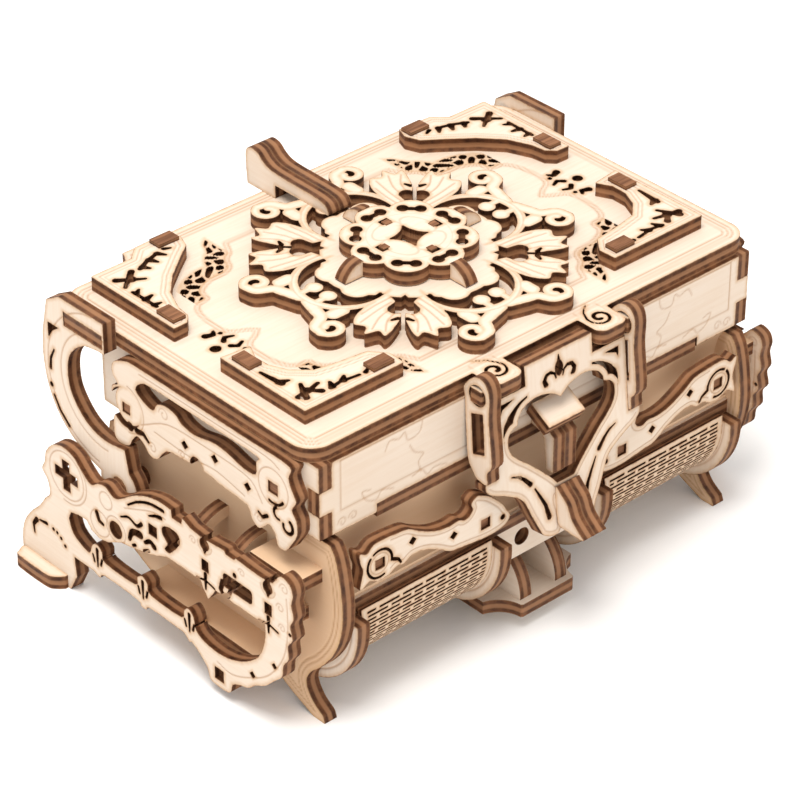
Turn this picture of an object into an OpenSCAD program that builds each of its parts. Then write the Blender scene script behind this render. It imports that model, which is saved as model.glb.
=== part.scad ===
// Ornate plywood jewellery casket, a press-together mechanical jigsaw model.
// Every piece is cut from one sheet thickness and held by tenons and pins.
// Millimetres, +Z up, floor at z = 0, +X right along the front, +Y to the back.

/* [Sheet and pins] */
// Thickness of the plywood sheet that every piece is cut from
ply = 3; // [2.8:0.1:3.2]
// Radius of the hinge pins
pin_r = 2; // [1.6:0.1:2.2]
// Free play round anything that turns, measured on the radius
play = 0.1; // [0.05:0.05:0.1]

/* [Lid] */
// Length of the lid plate
lid_len = 114; // [112:1:116]
// Depth of the lid plate in front of the middle
lid_front = 36.3; // [36:0.1:36.6]
// Depth of the lid plate behind the middle
lid_rear = 36; // [34:0.5:37]
// Height of the lid plate's top above the floor
lid_top_z = 62.5; // [62:0.1:63]
// Corner radius of the lid plate
lid_corner = 5; // [2:0.5:7]

/* [Medallion] */
// Half length of the carved medallion on the lid
medal_x = 33; // [30:1:36]
// Half depth of the carved medallion on the lid
medal_y = 31; // [28:1:32]
// Outer radius of the eight lobes of the rosette
rosette_r = 13.5; // [13:0.1:13.6]

/* [Body] */
// Radius of the two slit rolls along the lower front
roll_r = 15; // [14:0.5:16]
// Radius of the discs that close the rolls
roll_cap_r = 17.3; // [16:0.1:17.5]
// Distance of the side frames' outer faces from the middle
frame_x = 63.2; // [63:0.1:64]

/* [Hidden] */
e = 0.05;
set_back = 3.72;                   // puts the origin under the middle of the model;
                                   // other y values are measured from the rosette
lid_low_z = lid_top_z - ply;       // underside of the lid plate
box_x = 55.7;                      // outer face of the lid's side panels
panel_y = 37.4;                    // front face of the lid's front panel
panel_low = 43.6;                  // lower edge of the lid's panels
back_y = 25;                       // rear face of the lid's back panel
hinge_y = 16;                      // axis of the lid hinge
hinge_z = 30;
rim_top = 45.4;                    // top of the body rim, just inside the lid
clasp_y = -40.8;                   // axis of the clasp hinge
clasp_z = lid_top_z - ply / 2;
end_x = 54;                        // outer face of the end plates
roll_y = -25;                      // axis of the slit rolls
roll_z = 23;
arm_x = 20.3;                      // outer face of the clasp's arms
lean = 6.5;                        // lean of the clasp plate, degrees

birch = [0.93, 0.84, 0.70];
shade = [0.85, 0.70, 0.52];
burnt = [0.45, 0.26, 0.15];

// ---- shapes shared by several pieces -------------------------------------

// a flat plate lying level, drawn in plan
module level(z, t = ply) translate([0, set_back, z]) linear_extrude(t) children();

// a plate standing across the width, drawn as seen from the left with
// the first coordinate to the back and the second up
module upright(x, t = ply)
  translate([x, set_back, 0]) rotate([90, 0, 90]) linear_extrude(t) children();

// a plate facing the front, drawn in x and z, its rear face at y
module facing(y, t = ply)
  translate([0, y + set_back, 0]) rotate([90, 0, 0]) linear_extrude(t) children();

// shapes that are not flat plates, measured from the rosette like the rest
module placed() translate([0, set_back, 0]) children();

module both_sides() { children(); mirror([1, 0, 0]) children(); }

// a closed outline from its right half, listed from the top down
function whole(half) =
  concat(half, [for (i = [len(half) - 1:-1:0]) [-half[i][0], half[i][1]]]);

module disc(x, y, r) translate([x, y]) circle(r, $fn = 64);

// a plate outline with round corners
module round_rect(x0, y0, x1, y1, r) {
  translate([x0 + r, y0]) square([x1 - x0 - 2 * r, y1 - y0]);
  translate([x0, y0 + r]) square([x1 - x0, y1 - y0 - 2 * r]);
  for (x = [x0 + r, x1 - r]) for (y = [y0 + r, y1 - r]) disc(x, y, r);
}

// ---- lid -----------------------------------------------------------------

module lid_plate() color(birch) {
  neck = 17;                         // outer edge of the front tabs
  tongue = 3;
  difference() {
    union() {
      level(lid_low_z) {
        difference() {
          round_rect(-lid_len / 2, -lid_front, lid_len / 2, lid_rear, lid_corner);
          // the filigree band is cut through near the four corners
          for (sx = [-1, 1]) for (sy = [-1, 1]) {
            disc(sx * 44, sy * 3, 1.6);
            disc(sx * 40, sy * 17, 1.2);
            disc(sx * 35, sy * 22, 1.2);
          }
        }
        translate([-38, lid_rear - 4]) square([76, 8]);
        // tenons that pass through the two hinge arms
        for (s = [-1, 1]) translate([s > 0 ? 56 : -60, 19.2]) square([4, 11.6]);
      }
      both_sides() {
        level(lid_low_z) {
          translate([9.6, -42.6]) square([neck - 9.6, 12]);
          translate([neck - e, clasp_y - tongue / 2]) square([4, tongue]);
        }
      }
    }
    // small round eye of the spiral in each tab
    for (s = [-1, 1]) placed() translate([s * 13.4, -38, lid_low_z - 1])
      cylinder(h = ply + 2, r = 0.9, $fn = 32);
  }
}

// the front panel stands on two feet; between them its lower edge is raised
module lid_front_panel() color(birch)
  facing(-panel_y + ply) difference() {
    translate([-box_x, panel_low]) square([2 * box_x, lid_low_z - panel_low]);
    translate([-41.9, panel_low - 1]) square([83.8, 2.9]);
    for (s = [-1, 1]) for (z = [panel_low - 1, 54])
      translate([s > 0 ? box_x - ply : -box_x - 1, z])
        square([ply + 1, z < 50 ? 6.2 : 6]);
  }

module lid_back_panel() color(birch)
  facing(back_y) translate([-box_x + ply, panel_low])
    square([2 * (box_x - ply), lid_low_z - panel_low]);

// fingers at the front end fill the notches of the front panel
module side_panel() color(birch)
  upright(box_x - ply) {
    translate([-panel_y + ply, panel_low])
      square([panel_y - ply + back_y, lid_low_z - panel_low]);
    for (z = [panel_low, 54]) translate([-panel_y, z])
      square([ply + e, z < 50 ? 5.2 : 5.5]);
  }
module lid_side_panel_right() side_panel();
module lid_side_panel_left() mirror([1, 0, 0]) side_panel();

// raised corner pieces, wider at the back: square outside, hollow inside
module rear_corner() difference() {
  polygon([[51, 8.4], [51.2, 33.4], [41.5, 33.4], [38.4, 36.1], [30.3, 36.4], [29.2, 33.4],
    [30.4, 30.2], [34, 27.6], [39.5, 23.2], [43.7, 18.7], [45.8, 13.6], [46.2, 10.3],
    [47.9, 8.4]]);
  disc(48.5, 18.6, 1);
  disc(48.4, 21.4, 1);
  disc(45.4, 27.6, 1.3);
  disc(39.6, 29.9, 1);
  disc(36.6, 30.9, 1);
}
module front_corner() difference() {
  polygon([[51.2, -4.8], [51.2, -28.6], [27.2, -28.6], [27, -24.5], [29.7, -21.2], [36, -20.4],
    [41.1, -19.4], [44.4, -16.3], [46.1, -12.6], [46.2, -9], [44.7, -5.6]]);
  disc(48.2, -17.4, 1);
  disc(48.3, -14.2, 0.6);
  disc(45.2, -23.6, 1.3);
  disc(38.2, -25.2, 1);
}
module lid_corner_ornaments() color(birch)
  level(lid_top_z) both_sides() {
    rear_corner();
    front_corner();
  }

// burnt ends of the tenons that hold the corner pieces
module lid_ornament_pegs() color(burnt) placed() both_sides() {
  peg_low = lid_top_z + ply;
  proud = 0.8;
  for (p = [[31.1, -26], [32.7, 34.1]]) translate([p[0] - 2.5, p[1] - 1.5, peg_low])
    cube([5, 3, proud]);
  for (p = [[48.5, -9.3], [48.7, 12.3]]) translate([p[0] - 1.5, p[1] - 2.5, peg_low])
    cube([3, 5, proud]);
}

// carved medallion: eight leaves round a pierced middle
module medallion() color(birch)
  level(lid_top_z) difference() {
    union() {
      disc(0, 0, 19);
      for (s = [-1, 1]) {
        disc(s * (medal_x - 8), 6.5, 7);
        disc(s * (medal_x - 8), -6.5, 7);
        disc(s * (medal_x - 3.5), 0, 3.5);
        disc(8, s * (medal_y - 8), 8.4);
        disc(-8, s * (medal_y - 8), 8.4);
        disc(0, s * (medal_y - 3.5), 3.5);
        disc(s * 19, 17.5, 6.5);
        disc(s * 19, -17.5, 6.5);
      }
    }
    circle(2.5 + play, $fn = 64);
    for (a = [0:45:315]) disc(15.3 * cos(a), 15.3 * sin(a), 1.6);
    for (s = [-1, 1]) {
      disc(s * 25, 6.5, 2.2);
      disc(s * 25, -6.5, 2.2);
      disc(8, s * 22.5, 2);
      disc(-8, s * 22.5, 2);
      disc(s * 19, 17.5, 1.5);
      disc(s * 19, -17.5, 1.5);
    }
  }

// two-ply strap that climbs over the back edge and down to the medallion
module lid_strap() color(birch)
  for (x = [-ply, 0]) upright(x + (x < 0 ? 0 : e / 5))
    polygon([[20, 65.5], [36, 65.5], [36, 62.5], [44.6, 62.5], [45, 69.6], [43.6, 71.2],
      [41.4, 71], [39.4, 69.4], [36.8, 68.5], [31, 68.3], [24, 68.2], [21, 67.6]]);

// scroll that hides each side of the lid
module side_scroll() color(birch)
  upright(box_x) difference() {
    polygon([[17.6, 57.2], [14, 58.9], [10, 59.3], [-28, 59.4], [-33.2, 58.6], [-32.6, 56.4],
      [-34.6, 52.2], [-33.4, 49.8], [-34.7, 47], [-34.4, 44], [-31.4, 39.8], [-29.2, 39.8],
      [-27, 43.4], [-23.6, 41], [-20.6, 44.4], [-8, 45.6], [1.6, 44.8], [5.4, 41.2],
      [7.6, 40.9], [11.4, 43.4], [14, 40], [16.6, 39.3], [18.3, 40.4], [18.4, 51.6],
      [16.8, 52.8], [18.2, 54.6]]);
    polygon([[11, 54], [9.4, 56.2], [5, 56.8], [-23.6, 56.8], [-23.6, 52.6], [-20, 52.2],
      [-12, 53.4], [-6, 52.4], [-0.6, 54.2], [4.6, 54], [6.4, 51.8], [9, 52.4]]);
    translate([-29.5, 50.8]) square([2.6, 2.4]);
    translate([13.2, 47.1]) square([2.2, 2.2]);
    disc(13.4, 44.4, 1);
    disc(-32, 45.4, 1.2);
    disc(-6.3, 47.4, 0.9);
    for (p = [[-3, 49.6], [-11.7, 50], [-21, 48.6]]) disc(p[0], p[1], 0.8);
  }
module lid_scroll_right() side_scroll();
module lid_scroll_left() mirror([1, 0, 0]) side_scroll();

// square tenons of the box seen in the scrolls, a little below their faces
module lid_scroll_pegs() color(burnt) placed() both_sides() {
  peg_len = ply - 0.3;
  translate([box_x, -29.45, 50.85]) cube([peg_len, 2.5, 2.3]);
  translate([box_x, 13.25, 47.15]) cube([peg_len, 2.1, 2.1]);
}

// C-shaped arm: carries the overhanging lid and swings on the hinge pin
module hinge_arm() color(birch)
  upright(lid_len / 2) difference() {
    eye_r = 5.6;                       // round end about the hinge pin
    polygon(concat([[18.6, 65.4], [32, 65.3], [36, 63], [37.8, 55], [38, 49], [36.6, 42.4],
      [33, 36.8], [27, 32.8], [22.4, 31.2]],
      [for (a = [0:-20:-200]) [hinge_y + eye_r * cos(a), hinge_z + eye_r * sin(a)]],
      [[12.6, 34.8], [13.8, 39.6], [20, 38.8], [25.4, 40.4], [29.4, 44.6], [30.4, 49],
        [29.4, 53.6], [25.4, 57], [20.6, 58], [18.6, 58]]));
    disc(hinge_y, hinge_z, pin_r + play);
    translate([19.15, lid_low_z - e]) square([11.7, ply + 2 * e]);
    polygon([[32.6, 57.6], [36, 57.6], [36, 54.4], [34.6, 56.4]]);
    disc(35.9, 43.8, 0.6);
  }
module hinge_arm_right() hinge_arm();
module hinge_arm_left() mirror([1, 0, 0]) hinge_arm();

// two-ply hook on the lid's front, with a sloping cap to lift it by
module lift_block() color(shade) for (x = [-ply, 0]) upright(x + e / 5, ply - e / 2.5)
  polygon([[-panel_y - e, 45.6], [-panel_y - e, 48.8], [-42.7, 45.7], [-43.6, 45.1],
    [-43.6, 37.2], [-41.6, 37.2], [-41, 43.6], [-40, 45]]);
module lift_cap() color(birch) placed()
  translate([-4.75, -42.6, 46.1]) rotate([31, 0, 0]) cube([9.5, 5.8, ply - 0.2]);

// ---- rosette, turns on the lid ----------------------------------------------

rosette_z = lid_top_z + ply + 0.3;
module rosette_ring() color(birch)
  level(rosette_z) difference() {
    union() {
      difference() {
        union() {
          circle(rosette_r - 2.6, $fn = 64);
          for (a = [0:45:315])
            disc((rosette_r - 3.3) * cos(a), (rosette_r - 3.3) * sin(a), 3.3);
        }
        circle(rosette_r - 6.7, $fn = 64);
      }
      for (a = [45:90:315]) disc(3.9 * cos(a), 3.9 * sin(a), 3.3);
      for (a = [0:90:270]) rotate(a) translate([4.6, -1.6]) square([4, 3.2]);
    }
    for (a = [22.5:45:337.5]) disc(9.4 * cos(a), 9.4 * sin(a), 1.2);
    circle(1.6, $fn = 32);
    for (a = [0:90:270]) rotate(a) translate([5.6, -0.8]) square([1.6, 1.6]);
  }

// four quarter-round grips under the rosette, their tenons showing on top
module rosette_grips() color(birch) placed()
  for (a = [0:90:270]) rotate([0, 0, a]) rotate([90, 0, 0])
    translate([0, 0, -ply / 2]) linear_extrude(ply) intersection() {
      disc(13, lid_top_z + ply - 1.4, 5);
      translate([rosette_r + 0.1, lid_top_z + ply + 0.3]) square([8, 4]);
    }
module rosette_pegs() color(burnt) placed()
  for (a = [0:90:270]) rotate([0, 0, a])
    translate([5.62, -0.78, rosette_z + 0.2]) cube([1.56, 1.56, ply]);

// hub under the middle, turning in the hole through the medallion
module rosette_axle() color(burnt) placed()
  translate([0, 0, lid_top_z + 0.2]) cylinder(h = ply + 0.1, r = 2.5, $fn = 64);

// ---- clasp, swings on the tongues of the lid's front tabs ------------------

module leaning() translate([0, clasp_y + set_back, clasp_z]) rotate([-lean, 0, 0])
  translate([0, -clasp_y - set_back, -clasp_z]) children();

module heart() polygon(whole([[0.1, 52.4], [2, 53.6], [4.4, 54.6], [7, 54.8], [9.6, 54],
  [11.2, 52.4], [11.3, 51], [13.1, 50.1], [13.9, 48.2], [13.4, 46.2], [11.6, 44], [9.1, 42],
  [5, 38], [3.2, 36], [2.4, 34.8]]));
module clasp_plate() color(birch) leaning()
  facing(-38.1) difference() {
    polygon(whole([[8.7, 62.4], [8.7, 58.2], [17.25, 58.2], [17.25, 42],
      [20.2, 42], [20.1, 40.6], [18.6, 39.2], [14, 36.9], [12, 35.6], [10.6, 33.8], [9.3, 30.7],
      [7.4, 26.7], [6.6, 25.2], [4.8, 24.2], [2.8, 24], [1.9, 25.6], [2, 28.4], [2.6, 30.8],
      [2.4, 32]]));
    heart();
    polygon([[0, 61.2], [1.1, 59], [0.5, 56.2], [-0.5, 56.2], [-1.1, 59]]);
    for (s = [-1, 1]) {
      disc(s * 2.7, 57.6, 0.8);
      polygon([[s * 11.8, 56.7], [s * 15.4, 56.7], [s * 15, 54.6], [s * 13.4, 56]]);
      polygon([[s * 9.6, 56], [s * 12.4, 54.8], [s * 14.2, 52.6], [s * 14.9, 49.8],
        [s * 13.6, 51.4], [s * 12.4, 53.4]]);
      polygon([[s * 12.6, 40.4], [s * 9.8, 39], [s * 8.2, 37], [s * 10.6, 38.2]]);
      polygon([[s * 7.8, 35.4], [s * 6, 33.4], [s * 4.6, 29], [s * 6.4, 32]]);
    }
  }

// slotted arms that turn on the tongues of the lid's front tabs
module clasp_arms() color(birch) both_sides()
  upright(arm_x - ply) difference() {
    polygon([[-37.2, 61.4], [-37.5, 59], [-37.8, 54], [-38.5, 46.4], [-40, 43.9],
      [-41, 42.6], [-43.9, 42.5], [-43.7, 45.4], [-45, 47.2], [-44.5, 52], [-43.9, 57],
      [-44, 61.6], [-43.4, 64.2], [-42, 65.1], [-40.2, 65.1], [-39.3, 64.2], [-38.3, 63.4]]);
    disc(clasp_y, clasp_z, 2.22);
    polygon([[-39.4, 56.4], [-42.2, 57.4], [-42.8, 49], [-40, 48]]);
  }

// two-ply hook under the heart: it runs forward and down to a finger lip
module clasp_prong() color(shade) leaning()
  for (x = [-ply, 0]) upright(x + e / 5, ply - e / 2.5)
    polygon([[-41.15, 34.2], [-42.9, 33], [-44.4, 31.3], [-45.5, 28.4], [-47.4, 26.1],
      [-48.4, 24.9], [-45.8, 24.9], [-43.2, 25.5], [-41.15, 26.5]]);

// ---- body ------------------------------------------------------------------

// bombe end plate with its front foot; behind the hinge pin it is a round
module end_plate() color(birch)
  upright(end_x - ply) {
    polygon([[-38.4, 42.3], [-39.9, 39.6], [-41.1, 34], [-41.6, 28], [-40.8, 22.6],
      [-38.8, 17.8], [-35.6, 13.4], [-32.2, 10], [-31, 7], [-32.6, 3.8], [-35.6, 1.6],
      [-36.2, 0], [-32.8, 0], [-27, 2.4], [-21, 5.6], [-16, 7], [14, 7], [24, 12],
      [28.4, 24], [26, 37.6], [hinge_y, 42.3]]);
  }
module end_plate_right() end_plate();
module end_plate_left() mirror([1, 0, 0]) end_plate();

// level ring at the top of the body; its front shows under the lid's panel
module body_rim() color(birch)
  level(rim_top - ply) difference() {
    union() {
      translate([-52.3, -33.2]) square([104.6, 54.9]);
      translate([-41.7, -37.2]) square([83.4, 5]);
    }
    translate([-45, -28]) square([90, 42]);
  }
module back_wall() color(birch)
  facing(22) translate([-end_x + ply, 10]) square([2 * (end_x - ply), 32.4]);
module inner_front() color(birch)
  facing(-26) translate([-end_x + ply, 10]) square([2 * (end_x - ply), 32.4]);
module floor_plate() color(birch)
  level(7) translate([-end_x + ply, -28.2]) square([2 * (end_x - ply), 50.2]);

// hollow-curved strip behind the front scrolls
module cove_front() color(shade)
  upright(-end_x + ply, 2 * (end_x - ply)) difference() {
    translate([-37.6, 27.4]) square([8, 15]);
    disc(-44.4, 36, 10.4);
  }
module ledge_front() color(birch)
  level(24.4) translate([-end_x + ply, -38.2]) square([2 * (end_x - ply), 9.2]);

// bent roll, drawn as a shell from under the ledge down to the floor plate
module roll(x0) color(shade)
  upright(x0, 33) difference() {
    polygon(concat(
      [for (a = [175:5:250]) [roll_y + roll_r * cos(a), roll_z + roll_r * sin(a)]],
      [for (a = [250:-5:175]) [roll_y + (roll_r - 1.5) * cos(a),
        roll_z + (roll_r - 1.5) * sin(a)]]));
  }
module roll_left() roll(-48);
module roll_right() roll(15);
module roll_caps() color(birch) both_sides() for (x = [12, 48])
  upright(x) intersection() {
      disc(roll_y, roll_z, roll_cap_r);
      translate([-45, 4]) square([15.9, 20.3]);
    }

module front_scroll() color(birch)
  facing(-38.25) difference() {
    polygon([[49.4, 39.6], [47.8, 38.9], [46, 40.2], [41, 40.2], [37.6, 39.6], [35, 38],
      [31, 36], [27.4, 35.3], [23.6, 34.9], [22.2, 35.2], [21.3, 36.4], [21.7, 37.8],
      [20.4, 38.8], [17.4, 37.4], [14.2, 34.4], [11.8, 30.6], [12.8, 29.2], [14.8, 28.6],
      [21.4, 28.9], [27, 29.7], [30.4, 31.8], [33.6, 33.2], [36.8, 33.6], [38.6, 32.6],
      [40.4, 32.9], [42.4, 31.9], [45, 31.7], [47.2, 32.7], [49.3, 31.6], [48.6, 35.6]]);
    translate([43.4, 34.2]) square([2.3, 2.3]);
    translate([16.9, 30.5]) square([2.3, 2.3]);
    disc(36.5, 36.6, 0.7);
    disc(26.2, 32.8, 0.7);
  }
module front_scroll_right() front_scroll();
module front_scroll_left() mirror([1, 0, 0]) front_scroll();
module front_scroll_pegs() color(burnt) placed() both_sides() for (p = [[43.45, 34.25], [16.95, 30.55]])
  translate([p[0], -40.7, p[1]]) cube([2.2, 2.4, 2.2]);

module centre_plate() color(birch)
  facing(-34.6) difference() {
    translate([-11.9, 16.3]) square([23.8, 8]);
    for (s = [-1, 1]) disc(s * 5, 20.5, 1.9);
  }
module centre_base() color(birch)
  level(3.4) difference() {
    polygon([[-11.9, -14], [11.9, -14], [11.9, -36.6], [6.6, -40.2], [-6.6, -40.2],
      [-11.9, -36.6]]);
    for (s = [-1, 1]) disc(s * 13.4, -40.6, 6.4);
  }
module centre_gussets() color(birch) for (x = [-6.2, 3.2])
  upright(x) intersection() {
    disc(-28.6, 6.6, 10.2);
    translate([-39, 6.4]) square([9.8, 9.8]);
  }

// tall pierced side frame with a rear foot
module side_frame() color(birch)
  upright(frame_x - ply) difference() {
    polygon([[44.4, 0], [44.6, 4.6], [43.6, 9], [41, 12.8], [36, 18.6], [34.4, 20.4],
      [34.8, 23.4], [36.4, 25.4], [34.8, 30.2], [32.6, 32.8], [29.4, 34], [26, 33.4],
      [20.8, 29.6], [16.2, 31.4], [13.8, 30.2], [8, 33.6], [4, 35.6], [0, 36.6], [-3.8, 36.6],
      [-4, 34.9], [-6.8, 34.9], [-7, 36.5], [-12, 35.1], [-19.2, 35.6], [-22, 34.9],
      [-32.8, 35.6], [-35.2, 38.4], [-37.6, 37.8], [-38.5, 35.8], [-38.6, 30.6],
      [-38.2, 25.6], [-37, 20.6], [-35.2, 16], [-30, 10.4], [-25, 7], [-20.4, 5],
      [-19.2, 2.6], [-14, 2.6], [-12.9, 5], [-9, 8.2], [-6.4, 9.3], [18, 9.4], [22.4, 8.6],
      [26.4, 5.2], [29.4, 0]]);
    polygon([[28.4, 17.6], [27.2, 14.8], [24.4, 13], [22.4, 12.9], [20, 15.9], [17.6, 12.9],
      [8.4, 12.9], [6, 15.9], [3.6, 12.9], [-5.6, 12.9], [-8, 15.9], [-10, 12.2],
      [-16, 10.4], [-20, 11], [-28.2, 16.6], [-30.2, 24.6], [-2, 24.6], [3, 22.6],
      [14, 19.6], [19, 17.9], [22.8, 20], [27.6, 19.2]]);
    translate([25.1, 26.5]) square([7, 2.2]);
    translate([27.5, 24]) square([2.2, 7]);
    disc(13.6, 22.8, 1.5);
    disc(-4, 29.4, 2);
    disc(7.6, 25.4, 0.9);
    translate([0.8, 27.4]) square([2.5, 2.5]);
    translate([-26.9, 27.2]) square([8.3, 3.2]);
    translate([-14.4, 27.6]) square([2, 2.6]);
    translate([-32.4, 27.6]) square([2, 2.6]);
    disc(-13.4, 33, 1.1);
    disc(-31.4, 33, 1.1);
    translate([-17.8, 3.8]) square([2.6, 2.8]);
    polygon([[27.6, 8.8], [21.8, 8.8], [27, 3.8]]);
  }
module side_frame_right() side_frame();
module side_frame_left() mirror([1, 0, 0]) side_frame();

// short level rails that tie each side frame to its end plate
module side_rails() color(birch) placed() both_sides() {
  translate([end_x, -36, 33]) cube([frame_x - ply - end_x, 13, ply]);
  translate([end_x, -32, 22.6]) cube([frame_x - ply - end_x, 36, ply]);
  translate([end_x, -24, 9]) cube([frame_x - ply - end_x, 34, ply]);
}

// curved arches, standing on the frame's top edge beside the end plate
module side_arches() color(shade) both_sides() for (y = [-6.5, -17.5])
  facing(y) intersection() {
    difference() {
      disc(end_x, 26.4, 9.8);
      disc(end_x, 26.4, 7.4);
    }
    translate([end_x, 28]) square([frame_x - ply - end_x - e, 10]);
  }

module rear_pads() color(birch) both_sides()
  level(0) polygon([[frame_x, 43.8], [frame_x + 3.2, 42.6], [frame_x + 3.2, 33],
    [frame_x + 1.4, 30.5], [frame_x, 30]]);

module hinge_pins() color(burnt) placed() both_sides()
  translate([end_x, hinge_y, hinge_z]) rotate([0, 90, 0])
    cylinder(h = frame_x - ply - end_x, r = pin_r, $fn = 64);

// ---- draw ------------------------------------------------------------------

lid_plate();
lid_front_panel();
lid_back_panel();
lid_side_panel_left();
lid_side_panel_right();
lid_corner_ornaments();
lid_ornament_pegs();
medallion();
lid_strap();
lid_scroll_left();
lid_scroll_right();
lid_scroll_pegs();
hinge_arm_left();
hinge_arm_right();
lift_block();
lift_cap();
rosette_ring();
rosette_grips();
rosette_pegs();
rosette_axle();
clasp_plate();
clasp_arms();
clasp_prong();
end_plate_left();
end_plate_right();
body_rim();
back_wall();
inner_front();
floor_plate();
cove_front();
ledge_front();
roll_left();
roll_right();
roll_caps();
front_scroll_left();
front_scroll_right();
front_scroll_pegs();
centre_plate();
centre_base();
centre_gussets();
side_frame_left();
side_frame_right();
side_rails();
side_arches();
rear_pads();
hinge_pins();
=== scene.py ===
import bpy
import math
import numpy as np
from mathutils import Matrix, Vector


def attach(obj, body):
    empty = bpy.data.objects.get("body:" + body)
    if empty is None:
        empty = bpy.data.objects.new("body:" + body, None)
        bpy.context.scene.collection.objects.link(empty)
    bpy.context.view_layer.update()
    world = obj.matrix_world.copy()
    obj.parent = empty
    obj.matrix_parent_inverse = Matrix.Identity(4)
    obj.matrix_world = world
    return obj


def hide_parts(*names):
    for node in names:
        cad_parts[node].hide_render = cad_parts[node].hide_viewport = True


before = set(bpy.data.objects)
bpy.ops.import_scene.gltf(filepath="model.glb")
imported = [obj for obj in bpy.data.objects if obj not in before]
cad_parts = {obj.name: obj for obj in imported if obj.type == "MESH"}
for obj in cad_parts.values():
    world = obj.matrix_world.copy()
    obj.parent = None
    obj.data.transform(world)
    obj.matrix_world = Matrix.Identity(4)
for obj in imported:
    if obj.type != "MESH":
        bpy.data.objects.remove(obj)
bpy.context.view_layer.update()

# ---- Walls, floor, rim and middle foot ------------------------------------
# The box itself: straight cuts of one 3 mm birch plywood sheet, tenoned into
# each other. Their faces show the veneer and their laser-cut edges burnt plies.
PLY = 3.0
# The pieces are laid out from the rosette's axis; the frame's origin is this
# far in front of it.
BACK = 3.72
# The third colour is painted shade: the toasted brown that pieces standing in shade are mixed toward.
CREAM, HONEY, SHADE_TOAST = (0.71, 0.595, 0.49, 1), (0.64, 0.49, 0.36, 1), (0.66, 0.42, 0.235, 1)
SOOT, BURNT = (0.050, 0.016, 0.006, 1), (0.17, 0.066, 0.026, 1)
CORE_PLY, SKIN_PLY = (0.36, 0.18, 0.088, 1), (0.38, 0.20, 0.095, 1)
PEG_DARK, PEG_BROWN = (0.11, 0.040, 0.015, 1), (0.27, 0.12, 0.055, 1)
# Noise scales per metre of the wood's fibre, clouds and soot, and how far the
# fibre is drawn out along the grain.
FIBRE, CLOUD, SOOT_GRAIN, ALONG = 1500, 60, 420, 0.06


def tree(mat):
    """An empty node tree with its output and a Principled shader."""
    mat.use_nodes = True
    nt = mat.node_tree
    nt.nodes.clear()
    out = nt.nodes.new("ShaderNodeOutputMaterial")
    bs = nt.nodes.new("ShaderNodeBsdfPrincipled")
    nt.links.new(bs.outputs[0], out.inputs[0])
    return nt, bs


def link(nt, a, b):
    """Joins an output to an input, or sets the input if a is a value."""
    if hasattr(a, "is_output"):
        nt.links.new(a, b)
    else:
        b.default_value = a


def maths(nt, op, a, b=0.0, c=0.0, clamp=False):
    """One Math node, returning its output."""
    nd = nt.nodes.new("ShaderNodeMath")
    nd.operation, nd.use_clamp = op, clamp
    for v, s in zip((a, b, c), nd.inputs):
        link(nt, v, s)
    return nd.outputs[0]


def mixed(nt, fac, a, b):
    """Blends two colours by fac."""
    nd = nt.nodes.new("ShaderNodeMix")
    nd.data_type = "RGBA"
    for v, s in ((fac, 0), (a, 6), (b, 7)):
        link(nt, v, nd.inputs[s])
    return nd.outputs[2]


def band(nt, x, start, end):
    """Smooth step of x from 0 at start to 1 at end."""
    nd = nt.nodes.new("ShaderNodeMapRange")
    nd.interpolation_type = "SMOOTHSTEP"
    link(nt, x, nd.inputs[0])
    nd.inputs[1].default_value, nd.inputs[2].default_value = start, end
    return nd.outputs[0]


def noise(nt, scale, stretch=(1, 1, 1), detail=3.0, rough=0.5):
    """Noise in object metres, drawn out along the grain by small stretch."""
    tc = nt.nodes.new("ShaderNodeTexCoord")
    mp = nt.nodes.new("ShaderNodeMapping")
    mp.inputs["Scale"].default_value = stretch
    nz = nt.nodes.new("ShaderNodeTexNoise")
    nz.inputs["Scale"].default_value = scale
    nz.inputs["Detail"].default_value = detail
    nz.inputs["Roughness"].default_value = rough
    nt.links.new(tc.outputs["Object"], mp.inputs[0])
    nt.links.new(mp.outputs[0], nz.inputs["Vector"])
    return nz.outputs[0]


def veneer(nt, fibre, cloud, warm_shade):
    """Birch face: honey-coloured fibre and clouds over cream, with painted warm shade on pieces that
    stand in shade.
    """
    col = mixed(nt, maths(nt, "MULTIPLY", band(nt, fibre, 0.35, 0.75), 0.42), CREAM, HONEY)
    col = mixed(nt, maths(nt, "MULTIPLY", band(nt, cloud, 0.35, 0.75), 0.30), col, HONEY)
    # Painted warm shade: pieces in shade are mixed three quarters toward a toasted brown.
    return mixed(nt, 0.75, col, SHADE_TOAST) if warm_shade else col


def burnt_plies(nt, depth):
    """Colour of a laser-cut edge from the depth 0..1 through the sheet."""
    mid = maths(nt, "ABSOLUTE", maths(nt, "SUBTRACT", depth, 0.5))
    core = maths(nt, "SUBTRACT", 1.0, band(nt, mid, 0.10, 0.24))
    skin = band(nt, mid, 0.40, 0.47)
    soot = noise(nt, SOOT_GRAIN, (1, 1, 1), 5, 0.65)
    col = mixed(nt, band(nt, soot, 0.30, 0.72), SOOT, BURNT)
    col = mixed(nt, maths(nt, "MULTIPLY", core, 0.66), col, CORE_PLY)
    return mixed(nt, maths(nt, "MULTIPLY", skin, 0.35), col, SKIN_PLY)


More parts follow.
